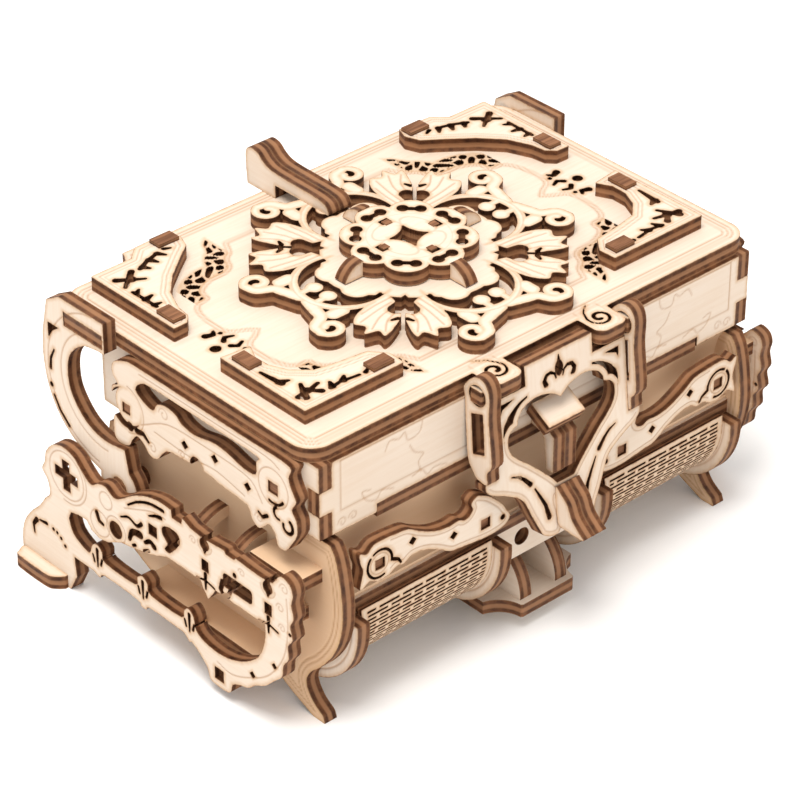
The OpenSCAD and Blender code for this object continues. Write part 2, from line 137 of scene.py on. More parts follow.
def dress(node, axis, start, pale=True, warm_shade=False):
    """Veneer on faces across the axis, burnt plies on the rest.

    The sheet's lower face is at start mm along the axis. The depth through
    the sheet is the place along the axis, repeated every sheet."""
    name = "sheet_%s_%d_%s" % ("xyz"[axis], round(start * 10),
                             "warm_shade" if warm_shade else "pale" if pale else "dark")
    mat = bpy.data.materials.get(name)
    if mat is None:
        mat = bpy.data.materials.new(name)
        nt, bs = tree(mat)
        tc = nt.nodes.new("ShaderNodeTexCoord")
        place = nt.nodes.new("ShaderNodeSeparateXYZ")
        turn = nt.nodes.new("ShaderNodeSeparateXYZ")
        nt.links.new(tc.outputs["Object"], place.inputs[0])
        nt.links.new(tc.outputs["Normal"], turn.inputs[0])
        start += BACK * (axis == 1)
        depth = maths(nt, "WRAP", maths(nt, "SUBTRACT", place.outputs[axis], start * 0.001),
                      PLY * 0.001, 0.0)
        depth = maths(nt, "MULTIPLY", depth, 1000 / PLY)
        face = band(nt, maths(nt, "ABSOLUTE", turn.outputs[axis]), 0.55, 0.8)
        long = [1.0, 1.0, 1.0]
        long[1 if axis == 0 else 0] = ALONG
        fibre = noise(nt, FIBRE, long, 4, 0.6)
        cloud = noise(nt, CLOUD, (1, 1, 1), 2)
        # Pieces in shade get painted warm shade in their veneer.
        skin = veneer(nt, fibre, cloud, warm_shade)
        if not pale:
            skin = mixed(nt, band(nt, fibre, 0.3, 0.7), PEG_DARK, PEG_BROWN)
        link(nt, mixed(nt, face, burnt_plies(nt, depth), skin), bs.inputs["Base Color"])
        bs.inputs["Roughness"].default_value = 0.65
        bs.inputs["Specular IOR Level"].default_value = 0.25
    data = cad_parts[node].data
    if not data.materials:
        data.materials.append(mat)
    for i in range(len(data.materials)):
        data.materials[i] = mat


for node, axis, start in (
        ("body_rim", 2, 42.4), ("back_wall", 1, 19), ("inner_front", 1, -29), ("floor_plate", 2, 7),
        ("ledge_front", 2, 24.4), ("centre_plate", 1, -37.6), ("centre_base", 2, 3.4),
        ("centre_gussets", 0, -6.2)):
    dress(node, axis, start)

# ---- Hollow strip, rails and arches ----------------------------------------
# The strip bent inward behind the front scrolls, and the level rails and standing arches that tie each
# side frame to its end plate. All stand in shade and get painted warm shade, a browner veneer.
dress("cove_front", 1, -37.6, warm_shade=True)
dress("side_rails", 2, 9, warm_shade=True)
dress("side_arches", 1, -9.5, warm_shade=True)

# ---- End plates ------------------------------------------------------------
# Bombe end walls of the body, each with a curved front foot, engraved with two lines that follow the
# swell. Their veneer is browner with painted warm shade.
END = [(-38.4, 42.3), (-39.9, 39.6), (-41.1, 34), (-41.6, 28), (-40.8, 22.6), (-38.8, 17.8),
       (-35.6, 13.4), (-32.2, 10), (-31, 7), (-32.6, 3.8), (-35.6, 1.6), (-36.2, 0), (-32.8, 0),
       (-27, 2.4), (-21, 5.6), (-16, 7), (14, 7), (24, 12), (28.4, 24), (26, 37.6), (16, 42.3)]

X, Y, Z = (1, 0, 0), (0, 1, 0), (0, 0, 1)
SCORCH, HALO, CHAR = (0.36, 0.17, 0.06, 1), (0.50, 0.285, 0.12, 1), (0.20, 0.070, 0.022, 1)
GROOVE = 0.14


def outline(U, V, pts):
    """Signed distance of a closed polygon, by crossings and nearest edge."""
    pts = np.asarray(pts, float)
    near = np.full(U.shape, 1e9)
    odd = np.zeros(U.shape, bool)
    for (x0, y0), (x1, y1) in zip(pts, np.roll(pts, -1, 0)):
        ex, ey = x1 - x0, y1 - y0
        t = np.clip(((U - x0) * ex + (V - y0) * ey) / (ex * ex + ey * ey + 1e-12), 0, 1)
        near = np.minimum(near, (U - x0 - t * ex) ** 2 + (V - y0 - t * ey) ** 2)
        if y0 != y1:
            odd ^= ((y0 > V) != (y1 > V)) & (U < ex * (V - y0) / ey + x0)
    return np.sqrt(near) * np.where(odd, -1, 1)


def smooth(pts, n=6, closed=True):
    """Points on a Catmull-Rom curve through pts."""
    p = np.asarray(pts, float)
    if closed:
        q = np.concatenate([p[-1:], p, p[:2]])
    else:
        q = np.concatenate([2 * p[:1] - p[1:2], p, 2 * p[-1:] - p[-2:-1]])
    t = (np.arange(n) / n)[:, None]
    out = [0.5 * (2 * b + (c - a) * t + (2 * a - 5 * b + 4 * c - d) * t ** 2
                  + (3 * b - a - 3 * c + d) * t ** 3)
           for a, b, c, d in zip(q, q[1:], q[2:], q[3:])]
    out = np.concatenate(out)
    return out if closed else np.concatenate([out, p[-1:]])


def scored(d, w=0.22):
    """Engraving depth of a line that follows distance d = 0."""
    return np.exp(-(d / w) ** 2)


def sheet_mesh(name, field, box, step, origin, a, b, thick=PLY, lines=None, bend=None):
    """Closed plate cut where field(U, V) < 0, by marching triangles.

    The plan (u, v) in mm maps to origin + u a + v b, and the thickness runs
    along a x b. Each grid square is split into two triangles; a crossing on
    an edge lies where the linear field is zero. Point attributes: rim is the
    distance to the cut, lay runs 0 to 1 through the sheet, line is the
    engraving depth."""
    us = np.arange(box[0], box[2] + step / 2, step)
    vs = np.arange(box[1], box[3] + step / 2, step)
    U, V = np.meshgrid(us, vs, indexing="ij")
    D = field(U, V)
    D = np.where(np.abs(D) < 1e-3 * step, 1e-3 * step, D)
    D[0, :] = D[-1, :] = np.maximum(D[0, :].max(), step)
    D[:, 0] = D[:, -1] = step
    n, m = D.shape
    L = lines(U, V) if lines is not None else np.zeros_like(D)
    idx = np.arange(n * m).reshape(n, m)
    flat, fu, fv, fl = D.ravel(), U.ravel(), V.ravel(), L.ravel()
    p00, p10 = idx[:-1, :-1].ravel(), idx[1:, :-1].ravel()
    p01, p11 = idx[:-1, 1:].ravel(), idx[1:, 1:].ravel()
    tri = np.concatenate([np.stack([p00, p10, p11], 1), np.stack([p00, p11, p01], 1)])
    inside = flat[tri] < 0
    count = inside.sum(1)
    full = tri[count == 3]

    def turned(rows, want):
        """Rotates each triangle so that its odd corner comes first."""
        t, s = tri[rows], inside[rows]
        k = np.argmax(s if want else ~s, axis=1)
        r = (k[:, None] + np.arange(3)) % 3
        return np.take_along_axis(t, r, 1)

    one, two = turned(count == 1, True), turned(count == 2, False)

    def key(i, j):
        """One number for each grid edge, whichever way it is walked."""
        return np.minimum(i, j) * (n * m) + np.maximum(i, j)

    e1 = np.stack([key(one[:, 0], one[:, 1]), key(one[:, 0], one[:, 2])], 1)
    e2 = np.stack([key(two[:, 0], two[:, 1]), key(two[:, 0], two[:, 2])], 1)
    keys, inv = np.unique(np.concatenate([e1.ravel(), e2.ravel()]), return_inverse=True)
    ia, ib = keys // (n * m), keys % (n * m)
    f = flat[ia] / (flat[ia] - flat[ib])
    cu, cv = fu[ia] + f * (fu[ib] - fu[ia]), fv[ia] + f * (fv[ib] - fv[ia])
    cl = fl[ia] + f * (fl[ib] - fl[ia])
    used = np.unique(np.concatenate([full.ravel(), one[:, 0], two[:, 1], two[:, 2]]))
    new = np.full(n * m, -1)
    new[used] = np.arange(len(used))
    x1 = len(used) + inv[: e1.size].reshape(-1, 2)
    x2 = len(used) + inv[e1.size:].reshape(-1, 2)
    top = np.concatenate([
        new[full],
        np.stack([new[one[:, 0]], x1[:, 0], x1[:, 1]], 1),
        np.stack([new[two[:, 1]], new[two[:, 2]], x2[:, 1]], 1),
        np.stack([new[two[:, 1]], x2[:, 1], x2[:, 0]], 1)])
    rim_edges = np.concatenate([x1, x2[:, ::-1]])
    pu = np.concatenate([fu[used], cu])
    pv = np.concatenate([fv[used], cv])
    rim = np.concatenate([-flat[used], np.zeros(len(cu))])
    eng = np.concatenate([fl[used], cl])
    N = len(pu)
    a, b, o = (np.array(q, float) for q in (a, b, origin))
    w = np.cross(a, b)
    base = o + (0, BACK, 0) + pu[:, None] * a + pv[:, None] * b
    dip = GROOVE * eng * (rim > 0)
    verts = np.concatenate([base, base + (thick - dip)[:, None] * w]) * 0.001
    if bend is not None:
        verts = (np.concatenate([bend(pu, pv, 0.0), bend(pu, pv, thick - dip)])
                 + (0, BACK, 0)) * 0.001
    walls = np.stack([rim_edges[:, 0], rim_edges[:, 0] + N,
                      rim_edges[:, 1] + N, rim_edges[:, 1]], 1)
    me = bpy.data.meshes.new(name)
    nt, nw = len(top), len(walls)
    loops = np.concatenate([(top + N).ravel(), top[:, ::-1].ravel(), walls.ravel()])
    starts = np.concatenate([np.arange(2 * nt) * 3, 6 * nt + np.arange(nw) * 4])
    me.vertices.add(2 * N)
    me.vertices.foreach_set("co", verts.ravel())
    me.loops.add(len(loops))
    me.loops.foreach_set("vertex_index", loops.astype(np.int32))
    me.polygons.add(len(starts))
    me.polygons.foreach_set("loop_start", starts.astype(np.int32))
    me.polygons.foreach_set(
        "material_index", np.repeat([0, 1], [2 * nt, nw]).astype(np.int32))
    me.update(calc_edges=True)
    for label, data in (("rim", np.tile(rim, 2)), ("line", np.tile(eng, 2)),
                        ("lay", np.repeat([0.0, 1.0], N))):
        me.attributes.new(label, "FLOAT", "POINT").data.foreach_set(
            "value", data.astype(np.float32))
    ob = bpy.data.objects.new(name, me)
    bpy.context.scene.collection.objects.link(ob)
    return ob


def attribute(nt, name):
    """Reads a number laid on the mesh's points."""
    nd = nt.nodes.new("ShaderNodeAttribute")
    nd.attribute_name = name
    return nd.outputs["Fac"]


def face_material(grain, warm_shade=False):
    """Birch veneer: grain along one axis, scorched toward cuts and lines."""
    name = "birch_face_" + "xyz"[grain] + ("_warm" if warm_shade else "")
    if name in bpy.data.materials:
        return bpy.data.materials[name]
    mat = bpy.data.materials.new(name)
    nt, bs = tree(mat)
    long = [1.0, 1.0, 1.0]
    long[grain] = ALONG
    fibre = noise(nt, FIBRE, long, 4, 0.6)
    cloud = noise(nt, CLOUD, [0.5 + 0.5 * (i != grain) for i in range(3)], 2)
    # Pieces in shade get painted warm shade in their veneer.
    col = veneer(nt, fibre, cloud, warm_shade)
    rim, line = attribute(nt, "rim"), attribute(nt, "line")
    ragged = maths(nt, "ADD", rim, maths(nt, "MULTIPLY", noise(nt, 900), 0.55))
    halo = maths(nt, "SUBTRACT", 1.0, band(nt, ragged, 0.25, 1.35))
    char = maths(nt, "SUBTRACT", 1.0, band(nt, ragged, 0.18, 0.48))
    col = mixed(nt, maths(nt, "MULTIPLY", halo, 0.6), col, HALO)
    col = mixed(nt, maths(nt, "MULTIPLY", char, 0.85), col, CHAR)
    col = mixed(nt, maths(nt, "MULTIPLY", line, 0.62), col, SCORCH)
    link(nt, col, bs.inputs["Base Color"])
    bs.inputs["Roughness"].default_value = 0.62
    bs.inputs["Specular IOR Level"].default_value = 0.25
    bump = nt.nodes.new("ShaderNodeBump")
    bump.inputs["Strength"].default_value = 0.12
    bump.inputs["Distance"].default_value = 0.0002
    link(nt, fibre, bump.inputs["Height"])
    link(nt, bump.outputs[0], bs.inputs["Normal"])
    return mat


def edge_material():
    """Burnt edge of the sheet, darkest in the glue lines."""
    if "burnt_edge" in bpy.data.materials:
        return bpy.data.materials["burnt_edge"]
    mat = bpy.data.materials.new("burnt_edge")
    nt, bs = tree(mat)
    link(nt, burnt_plies(nt, attribute(nt, "lay")), bs.inputs["Base Color"])
    bs.inputs["Roughness"].default_value = 0.7
    bs.inputs["Specular IOR Level"].default_value = 0.2
    return mat


def cut(name, field, box, step, origin, a, b, body, grain=0, nodes=(),
        thick=PLY, lines=None, bend=None, warm_shade=False):
    """Cuts a plate, gives it its two materials and ties it to its CAD nodes."""
    ob = sheet_mesh(name, field, box, step, origin, a, b, thick, lines, bend)
    ob.data.materials.append(face_material(grain, warm_shade))
    ob.data.materials.append(edge_material())
    if nodes:
        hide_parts(*nodes)
    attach(ob, body)
    return ob


def cut_pair(name, field, box, step, x, body, grain, node, lines=None, warm_shade=False):
    """Cuts the left and right plates of a pair that stand across X at x.

    The plan's u runs toward the back on the right and toward the front on
    the left, so the engraved face lies outside on both. A * in a name stands
    for the side."""
    for side, s in (("left", -1), ("right", 1)):
        span = box if s > 0 else (-box[2], box[1], -box[0], box[3])
        cut(name.replace("*", side), lambda U, V: field(U * s, V), span, step, (x * s, 0, 0),
            (0, s, 0), Z, body, grain, [node.replace("*", side)], warm_shade=warm_shade,
            lines=lines and (lambda U, V: lines(U * s, V)))


def end_plate(U, V):
    """Side view: a smooth bulging front down to the foot, then straight runs."""
    front = smooth(END[:11], 5, False)
    return outline(U, V, np.concatenate([front, END[11:]]))


def end_lines(U, V):
    """Two lines at fixed distances inside the front edge."""
    e = end_plate(U, V)
    return np.clip(scored(e + 1.4, 0.18) + scored(e + 2.4, 0.18), 0, 1) * (U < -24)


cut_pair("end_plate_cut_*", end_plate, (-42.4, -0.3, 29.2, 43), 0.36, 51, "chest", 1,
         "end_plate_*", end_lines, warm_shade=True)

# ---- Slit rolls ------------------------------------------------------------
# Thin sheet bent round the lower front. Staggered rows of slits let it bend;
# a plain margin is left along its lower edge.
ROLL_Y, ROLL_Z, ROLL_R, ROLL_SHEET = -25.0, 23.0, 15.0, 1.5
SLIT_ROW, SLIT_PITCH, SLIT_HALF_LONG, SLIT_HALF_WIDE = 0.92, 5.8, 2.45, 0.2


def slab(U, V, x0, y0, x1, y1, r=0.0):
    """Signed distance of a rectangle with corners of radius r."""
    dx = np.abs(U - (x0 + x1) / 2) - (x1 - x0) / 2 + r
    dy = np.abs(V - (y0 + y1) / 2) - (y1 - y0) / 2 + r
    return np.hypot(np.maximum(dx, 0), np.maximum(dy, 0)) + np.minimum(np.maximum(dx, dy), 0) - r


def bent(u, v, w):
    """Wraps the sheet: v is arc length from the level of the axis, w depth."""
    a = math.pi + v / ROLL_R
    r = ROLL_R - ROLL_SHEET + w
    return np.stack([u, ROLL_Y + r * np.cos(a), ROLL_Z + r * np.sin(a)], -1)


def slits(U, V):
    """Rows of short slits, every other row moved on by half a pitch."""
    row = np.floor(V / SLIT_ROW)
    y = V - (row + 0.5) * SLIT_ROW
    shift = np.where(np.mod(row, 2) == 0, 0.0, SLIT_PITCH / 2)
    x = np.mod(U - 15 + shift + 50 * SLIT_PITCH, SLIT_PITCH) - SLIT_PITCH / 2
    return np.maximum(np.abs(x) - SLIT_HALF_LONG, np.abs(y) - SLIT_HALF_WIDE)


def roll(U, V):
    """The flat sheet before bending, less its slits, with a plain border."""
    d = slab(U, V, 15, -2.6, 48, 18.4)
    slit = np.maximum.reduce([slits(U, V), -1.6 - V, V - 15.4, 16.4 - U, U - 46.6])
    return np.maximum(d, -slit)


for side, s in (("left", -1), ("right", 1)):
    cut("roll_cut_" + side, lambda U, V, s=s: roll(U * -s, V),
        (-48.3, -2.9, -14.7, 18.7) if s > 0 else (14.7, -2.9, 48.3, 18.7), 0.2, (0, 0, 0),
        X, Z, "chest", 0, ["roll_" + side], ROLL_SHEET,
        bend=lambda u, v, w: bent(-u, v, w))

# ---- Roll caps -------------------------------------------------------------
# Four discs that close the ends of the rolls, cut flat on top under the
# ledge, with one engraved ring.


def disc(U, V, x, y, r):
    """Signed distance of a disc of radius r at (x, y)."""
    return np.hypot(U - x, V - y) - r


for i, x in enumerate((-51, -15, 12, 48)):
    s = 1 if x > 0 else -1
    cut("roll_cap_cut_%d" % i,
        lambda U, V, s=s: np.maximum.reduce([disc(U * s, V, ROLL_Y, ROLL_Z, 17.25), U * s + 29.1,
                                             V - 24.3, -42.6 - U * s]),
        (-43, 5, -28.6, 25) if s > 0 else (28.6, 5, 43, 25), 0.25, (x if s > 0 else x + PLY, 0, 0),
        (0, s, 0), Z, "chest", 2, ["roll_caps"],
        lines=lambda U, V, s=s: scored(disc(U * s, V, ROLL_Y, ROLL_Z, 15.4), 0.18))

# ---- Front scrolls ---------------------------------------------------------
# Flat scrolls in front of the hollow strip, volute outward, pinned by two
# square tenons each.
FRONT = [(49.4, 39.6), (47.8, 38.9), (46, 40.2), (43.4, 40.3), (41, 40.1), (37.6, 39.6), (35, 38),
         (31, 36), (27.4, 35.3), (25, 35.5), (23.6, 34.9), (22.2, 35.2), (21.3, 36.4), (21.7, 37.8),
         (20.4, 38.8), (18.8, 38.2), (17.4, 37.4), (16, 36.2), (14.2, 34.4), (12.9, 32.4), (11.8, 30.6),
         (12.8, 29.2), (14.8, 28.6), (18, 28.5), (21.4, 28.9), (24.6, 29.3), (27, 29.7), (30.4, 31.8),
         (33.6, 33.2), (36.8, 33.6), (38.6, 32.6), (40.4, 32.9), (42.4, 31.9), (45, 31.7),
         (47.2, 32.7), (49.3, 31.6), (49, 33.6), (48.6, 35.6), (49.2, 37.6)]


def stroke(U, V, pts, w0, w1=None):
    """Signed distance of a line of round brush, half width w0 to w1."""
    pts = np.asarray(pts, float)
    w = np.linspace(w0, w0 if w1 is None else w1, len(pts))
    best = np.full(U.shape, 1e9)
    for i in range(len(pts) - 1):
        (x0, y0), (x1, y1) = pts[i], pts[i + 1]
        ex, ey = x1 - x0, y1 - y0
        t = np.clip(((U - x0) * ex + (V - y0) * ey) / (ex * ex + ey * ey + 1e-12), 0, 1)
        d = np.hypot(U - x0 - t * ex, V - y0 - t * ey) - (w[i] + t * (w[i + 1] - w[i]))
        best = np.minimum(best, d)
    return best


def curl(x, y, r, a0, turn, tight=0.35, n=22):
    """Points of a volute round (x, y): radius r shrinking to r*tight."""
    t = np.linspace(0, 1, n)
    rad = r * (1 - (1 - tight) * t)
    ang = np.radians(a0 + turn * t)
    return np.stack([x + rad * np.cos(ang), y + rad * np.sin(ang)], 1)


def front_scroll(U, V):
    """A smooth closed outline less round, square and diamond openings."""
    u = np.abs(U)
    d = outline(u, V, smooth(FRONT, 3)) - 0.1
    holes = np.minimum.reduce([
        slab(u, V, 43.4, 34.2, 45.7, 36.5), slab(u, V, 16.9, 30.5, 19.2, 32.8),
        stroke(u, V, curl(44.6, 35.4, 3.0, 250, 150, 1.0, 12), 0.24, 0.3),
        stroke(u, V, curl(44.6, 35.4, 3.0, 60, 130, 1.0, 12), 0.24, 0.3),
        stroke(u, V, [(41.2, 34.8), (40, 34.2), (39.4, 33.2)], 0.4, 0.25),
        stroke(u, V, [(24.6, 36.2), (23.4, 35.4), (22.3, 36.2)], 0.2, 0.3),
        disc(u, V, 13.6, 31, 0.6)])
    for x, z in ((36.5, 36.6), (26.2, 32.8)):
        holes = np.minimum(holes, np.abs(u - x) + np.abs(V - z) - 0.95)
    return np.maximum(d, -holes)


def front_scroll_lines(U, V):
    """A line inside the rim and a ring round the volute's pin."""
    u = np.abs(U)
    k = scored(outline(u, V, smooth(FRONT, 3)) + 0.85, 0.15) * (u < 42)
    k = k + scored(disc(u, V, 44.6, 35.4, 2.2), 0.15)
    return np.clip(k, 0, 1)


for side, span in (("left", (-50.2, 27.8, -11, 41)), ("right", (11, 27.8, 50.2, 41))):
    cut("front_scroll_cut_" + side, front_scroll, span, 0.18, (0, -38.2, 0), X, Z, "chest", 0,
        ["front_scroll_" + side], lines=front_scroll_lines)
dress("front_scroll_pegs", 1, 0, pale=False)

# ---- Side frames and rear pads ---------------------------------------------
# Tall pierced plates that carry the hinge pins' outer ends: a disc with a
# cross-shaped tenon, leafy scrollwork and a beaded rail. Their rear feet
# stand on pads laid flat.
FRAME_OUT = [(44.4, 0), (44.6, 4.6), (43.6, 9), (41, 12.8), (38, 15.8), (36, 18.6), (34.4, 20.4),
             (34.8, 23.4), (36.4, 25.4), (35.4, 27.6), (34.8, 30.2), (32.6, 32.8), (29.4, 34),
             (26, 33.4), (23.4, 31.2), (20.8, 29.6), (18.6, 30.9), (16.2, 31.4), (13.8, 30.2),
             (11.6, 31), (8, 33.6), (4, 35.6), (0, 36.6), (-3.6, 36.6)]
FRAME_TOP = [(-3.8, 36.6), (-4, 34.9), (-6.8, 34.9), (-7, 36.5), (-9.4, 35.4), (-12, 35.1),
             (-15.4, 35.2), (-19.2, 35.6), (-19.6, 34.9), (-22, 34.9), (-22.4, 35.5),
             (-27, 35.2), (-30, 35.2), (-32.8, 35.6)]
FRAME_FRONT = [(-33.6, 36.6), (-35.2, 38.4), (-37.6, 37.8), (-38.5, 35.8), (-38, 33.4), (-38.6, 30.6),
               (-37.6, 28.4), (-38.2, 25.6), (-36.8, 23.4), (-37, 20.6), (-35.4, 18.2), (-35, 15.4),
               (-32.6, 13), (-30, 10.4), (-27.4, 9), (-25, 7), (-22.4, 6.2), (-20.4, 5), (-19.8, 3),
               (-18.4, 2.3), (-14.8, 2.3), (-13.6, 3), (-12.9, 5), (-11, 6.8), (-8.6, 8.4), (-7.8, 8),
               (-6.4, 9.3), (-4, 9.4), (4, 9.4), (5.2, 8.4), (6.8, 8.4), (8, 9.3), (18, 9.4),
               (19.4, 8.2), (21, 8.6), (22.4, 8.6), (26.4, 5.2), (29.4, 0)]


def side_frame(U, V):
    """Side view: three joined edge runs, less one long window and many small cuts."""
    d = outline(U, V, np.concatenate([smooth(FRAME_OUT, 4, False), FRAME_TOP,
                                      smooth(FRAME_FRONT, 3, False)]))
    low = smooth([(28.6, 17.6), (27.4, 14.6), (24.4, 12.9), (22.4, 12.7), (21.6, 14.8), (20, 15.9),
                  (18.4, 14.8), (17.6, 12.7), (8.4, 12.7), (7.6, 14.8), (6, 15.9), (4.4, 14.8),
                  (3.6, 12.7), (-5.6, 12.7), (-6.4, 14.8), (-8, 15.9), (-9.4, 14.6), (-10, 12),
                  (-12.4, 10.7), (-16, 10.3), (-20, 10.9), (-24.6, 13), (-28.4, 16.4), (-30.2, 20.8),
                  (-30.4, 24.7), (-29.4, 24.8)], 3, False)
    high = [(-16.2, 24.8), (-15.4, 23.4), (-14, 21.6), (-12.6, 23.4), (-12, 24.8), (-2, 24.8),
            (0.6, 23.6), (3, 22.6), (6, 21.8), (9.6, 21), (12, 20.6), (14, 19.6), (16.4, 18.3),
            (19, 17.9), (21.4, 18.6), (22.8, 20.2), (25.4, 20), (27.8, 19.4)]
    holes = np.minimum.reduce([
        outline(U, V, np.concatenate([low, high])),
        slab(U, V, 25.1, 26.5, 32.1, 28.7), slab(U, V, 27.5, 24, 29.7, 31),
        disc(U, V, 13.6, 22.7, 1.9), stroke(U, V, [(19.4, 23.8), (18.8, 22.2), (17.6, 21.9)], 0.6, 0.4),
        slab(U, V, 0.8, 27.4, 3.3, 29.9),
        outline(U, V, smooth([(-0.9, 31), (-2.4, 32), (-5.2, 32), (-6.2, 30.4), (-5.2, 28.6),
                              (-4, 27.2), (-2.6, 26), (-1.4, 26.4), (-2.4, 28), (-1, 29.4)], 3)),
        stroke(U, V, smooth([(9.4, 30.8), (6.4, 33), (2.6, 34.6), (-1.4, 35)], 4, False), 0.2, 0.4),
        stroke(U, V, smooth([(11.8, 26.8), (9.4, 27.9), (7, 27.2), (5.4, 28.4)], 4, False), 0.2, 0.45),
        stroke(U, V, smooth([(9.4, 22.9), (8.4, 25), (6, 25.6)], 4, False), 0.5, 0.9),
        stroke(U, V, smooth([(4.6, 24.6), (3, 25.6), (1.8, 25)], 4, False), 0.4, 0.7),
        stroke(U, V, [(3, 31.6), (1, 32.6), (-0.6, 33)], 0.2, 0.5),
        stroke(U, V, [(8.4, 21.9), (7.6, 22.4)], 0.35), stroke(U, V, [(5, 22.4), (3.6, 23.2)], 0.4),
        slab(U, V, -26.9, 27.2, -18.6, 30.4, 0.9), disc(U, V, -22, 31.4, 0.55),
        stroke(U, V, [(-18.4, 28), (-17.8, 26), (-18.6, 25), (-20, 25.6), (-20.6, 27)], 0.6, 0.5)])
    for y in (-13.4, -31.4):
        drop = np.minimum(disc(U, V, y, 33.8, 1.35), stroke(U, V, [(y, 33), (y, 31.8)], 0.8, 0.2))
        holes = np.minimum(holes, np.minimum(drop, stroke(U, V, [(y, 35.4), (y, 34)], 0.7)))
        holes = np.minimum(holes, slab(U, V, y - 1, 27.6, y + 1, 30.2))
        star = np.minimum(stroke(U, V, [(y - 2.6, 25), (y, 25.6), (y + 2.6, 25)], 0.25, 0.25),
                          stroke(U, V, [(y, 27), (y, 23.6)], 0.5, 0.25))
        holes = np.minimum(holes, star)
    for y in (20, 6, -8):
        holes = np.minimum(holes, stroke(U, V, [(y, 14.6), (y, 12.4), (y, 10.6)], 0.45, 0.2))
        holes = np.minimum(holes, stroke(U, V, [(y + 1.4, 12.8), (y + 1, 11.4)], 0.3))
        holes = np.minimum(holes, stroke(U, V, [(y - 1.4, 12.8), (y - 1, 11.4)], 0.3))
    for y, z, r in ((-26.4, 10.9, 0.85), (-32.8, 16.6, 0.75), (-37.4, 26.4, 0.5)):
        holes = np.minimum(holes, np.abs(U - y) + np.abs(V - z) - r)
    holes = np.minimum(holes, slab(U, V, -17.8, 3.8, -15.2, 6.6))
    holes = np.minimum(holes, stroke(U, V, [(40.4, 8), (40.6, 10), (39.4, 11.6)], 0.2, 0.6))
    holes = np.minimum(holes, stroke(U, V, [(38.4, 12), (36.2, 12.3)], 0.2, 0.45))
    for k in range(4):
        holes = np.minimum(holes, disc(U, V, 34 - 1.2 * k, 12.1 - 0.25 * k * k, 0.4))
    holes = np.minimum(holes, outline(U, V, [(27.6, 8.8), (21.4, 8.8), (27, 3.4)]))
    return np.maximum(d, -holes)


def frame_lines(U, V):
    """Rings round the discs, lines along the bends and small spirals."""
    c = disc(U, V, 28.6, 27.5, 0)
    k = scored(c - 5.3, 0.17) * (V > 20) + scored(c - 6.2, 0.17) * (U < 30) * (V < 31)
    k = k + scored(disc(U, V, 16.4, 28, 1.9), 0.16) + scored(disc(U, V, 18.6, 21.6, 2.9), 0.16)
    k = k + scored(disc(U, V, 13.6, 22.7, 2.9), 0.16)
    k = k + scored(stroke(U, V, smooth([(-36.6, 34), (-36.8, 27), (-35.4, 20), (-31, 13.4),
                                        (-25, 9.4), (-20, 7.4), (-16, 8)], 5, False), 0.0), 0.16)
    arch = smooth([(10.6, 29.4), (6, 31.4), (2, 33), (-2, 33.4)], 4, False)
    k = k + scored(stroke(U, V, arch, 0.0), 0.15)
    for y, z, r in ((-36, 35.8, 1.3), (-34.8, 31, 1.1), (-35.2, 26.6, 1.0), (-24, 33, 1),
                    (-10, 33, 1)):
        k = k + 0.8 * scored(stroke(U, V, curl(y, z, r, 0, 420, 0.3, 14), 0.0), 0.15)
    for y in (-13.4, -31.4):
        k = k + 0.8 * scored(disc(U, V, y, 33.8, 2.1), 0.15) * (V < 34)
    return np.clip(k, 0, 1)


cut_pair("side_frame_cut_*", side_frame, (-39.4, -0.3, 45.3, 39.2), 0.24, 60.2, "chest", 1,
         "side_frame_*", frame_lines)


def pad(U, V):
    """The right-hand rear pad from above."""
    return outline(U, V, smooth([(63.2, 43.6), (65.4, 43.2), (66.3, 42), (66.3, 34), (65.6, 31.6),
                                 (63.2, 30.2), (63.2, 36)], 3))


cut("rear_pad_cut_left", lambda U, V: pad(-U, V), (-67, 29.4, -62.6, 44.6), 0.2, (0, 0, 0), X, Y,
    "chest", 1, ["rear_pads"])
cut("rear_pad_cut_right", pad, (62.6, 29.4, 67, 44.6), 0.2, (0, 0, 0), X, Y, "chest", 1,
    ["rear_pads"])

# ---- Lid panels ------------------------------------------------------------
# Front, back and side walls of the lid, joined at the corners by fingers.
# The front one is engraved with a line frame and four leafy corner sprays.


def front_panel(U, V):
    """A rectangle less the notches of its finger joints and a wide recess below."""
    u = np.abs(U)
    d = slab(u, V, -60, 43.6, 55.7, 59.5)
    d = np.maximum(d, -slab(u, V, -1, 40, 41.9, 45.5))
    d = np.maximum(d, -slab(u, V, 52.7, 42, 57, 48.8))
    return np.maximum(d, -slab(u, V, 52.7, 54, 57, 61))


SPRAYS = [
    [(30.6, 59), (31.4, 56.4), (34.2, 56), (35, 58), (36.4, 57.2), (38.6, 57.8), (39.8, 56)],
    [(31, 47.6), (31.6, 50), (30.4, 51.4), (32.6, 52.6), (33.8, 54.6)],
    [(24.6, 46.4), (27.6, 47), (29.4, 46.2), (30.8, 47.8), (33.2, 47.4)],
    [(37.8, 47), (40.6, 47.8), (42, 46.4), (44.4, 47.4), (45.4, 49.6), (43.4, 49.2)],
]


def front_panel_lines(U, V):
    """A rectangular line frame, four sprays and two spirals a side."""
    u = np.abs(U)
    k = scored(slab(u, V, -60, 48.0, 50.6, 58.9), 0.16) * (u < 51)
    for spray in SPRAYS:
        k = k + 0.75 * scored(stroke(u, V, smooth(spray, 5, False), 0.0), 0.17)
    for x, y in ((47.6, 45.6), (50.2, 45.4)):
        k = k + 0.75 * scored(stroke(u, V, curl(x, y, 1.1, 0, 400, 0.3, 16), 0.0), 0.16)
    return np.clip(k, 0, 1)


cut("lid_front_cut", front_panel, (-56.2, 43, 56.2, 60), 0.3, (0, -34.4, 0), X, Z, "lid", 0,
    ["lid_front_panel"], lines=front_panel_lines)


def side_panel(U, V):
    """A rectangle with two fingers at its front end."""
    d = slab(U, V, -34.4, 43.6, 25, 59.5)
    d = np.minimum(d, slab(U, V, -37.4, 43.6, -30, 48.8))
    return np.minimum(d, slab(U, V, -37.4, 54, -30, 59.5))


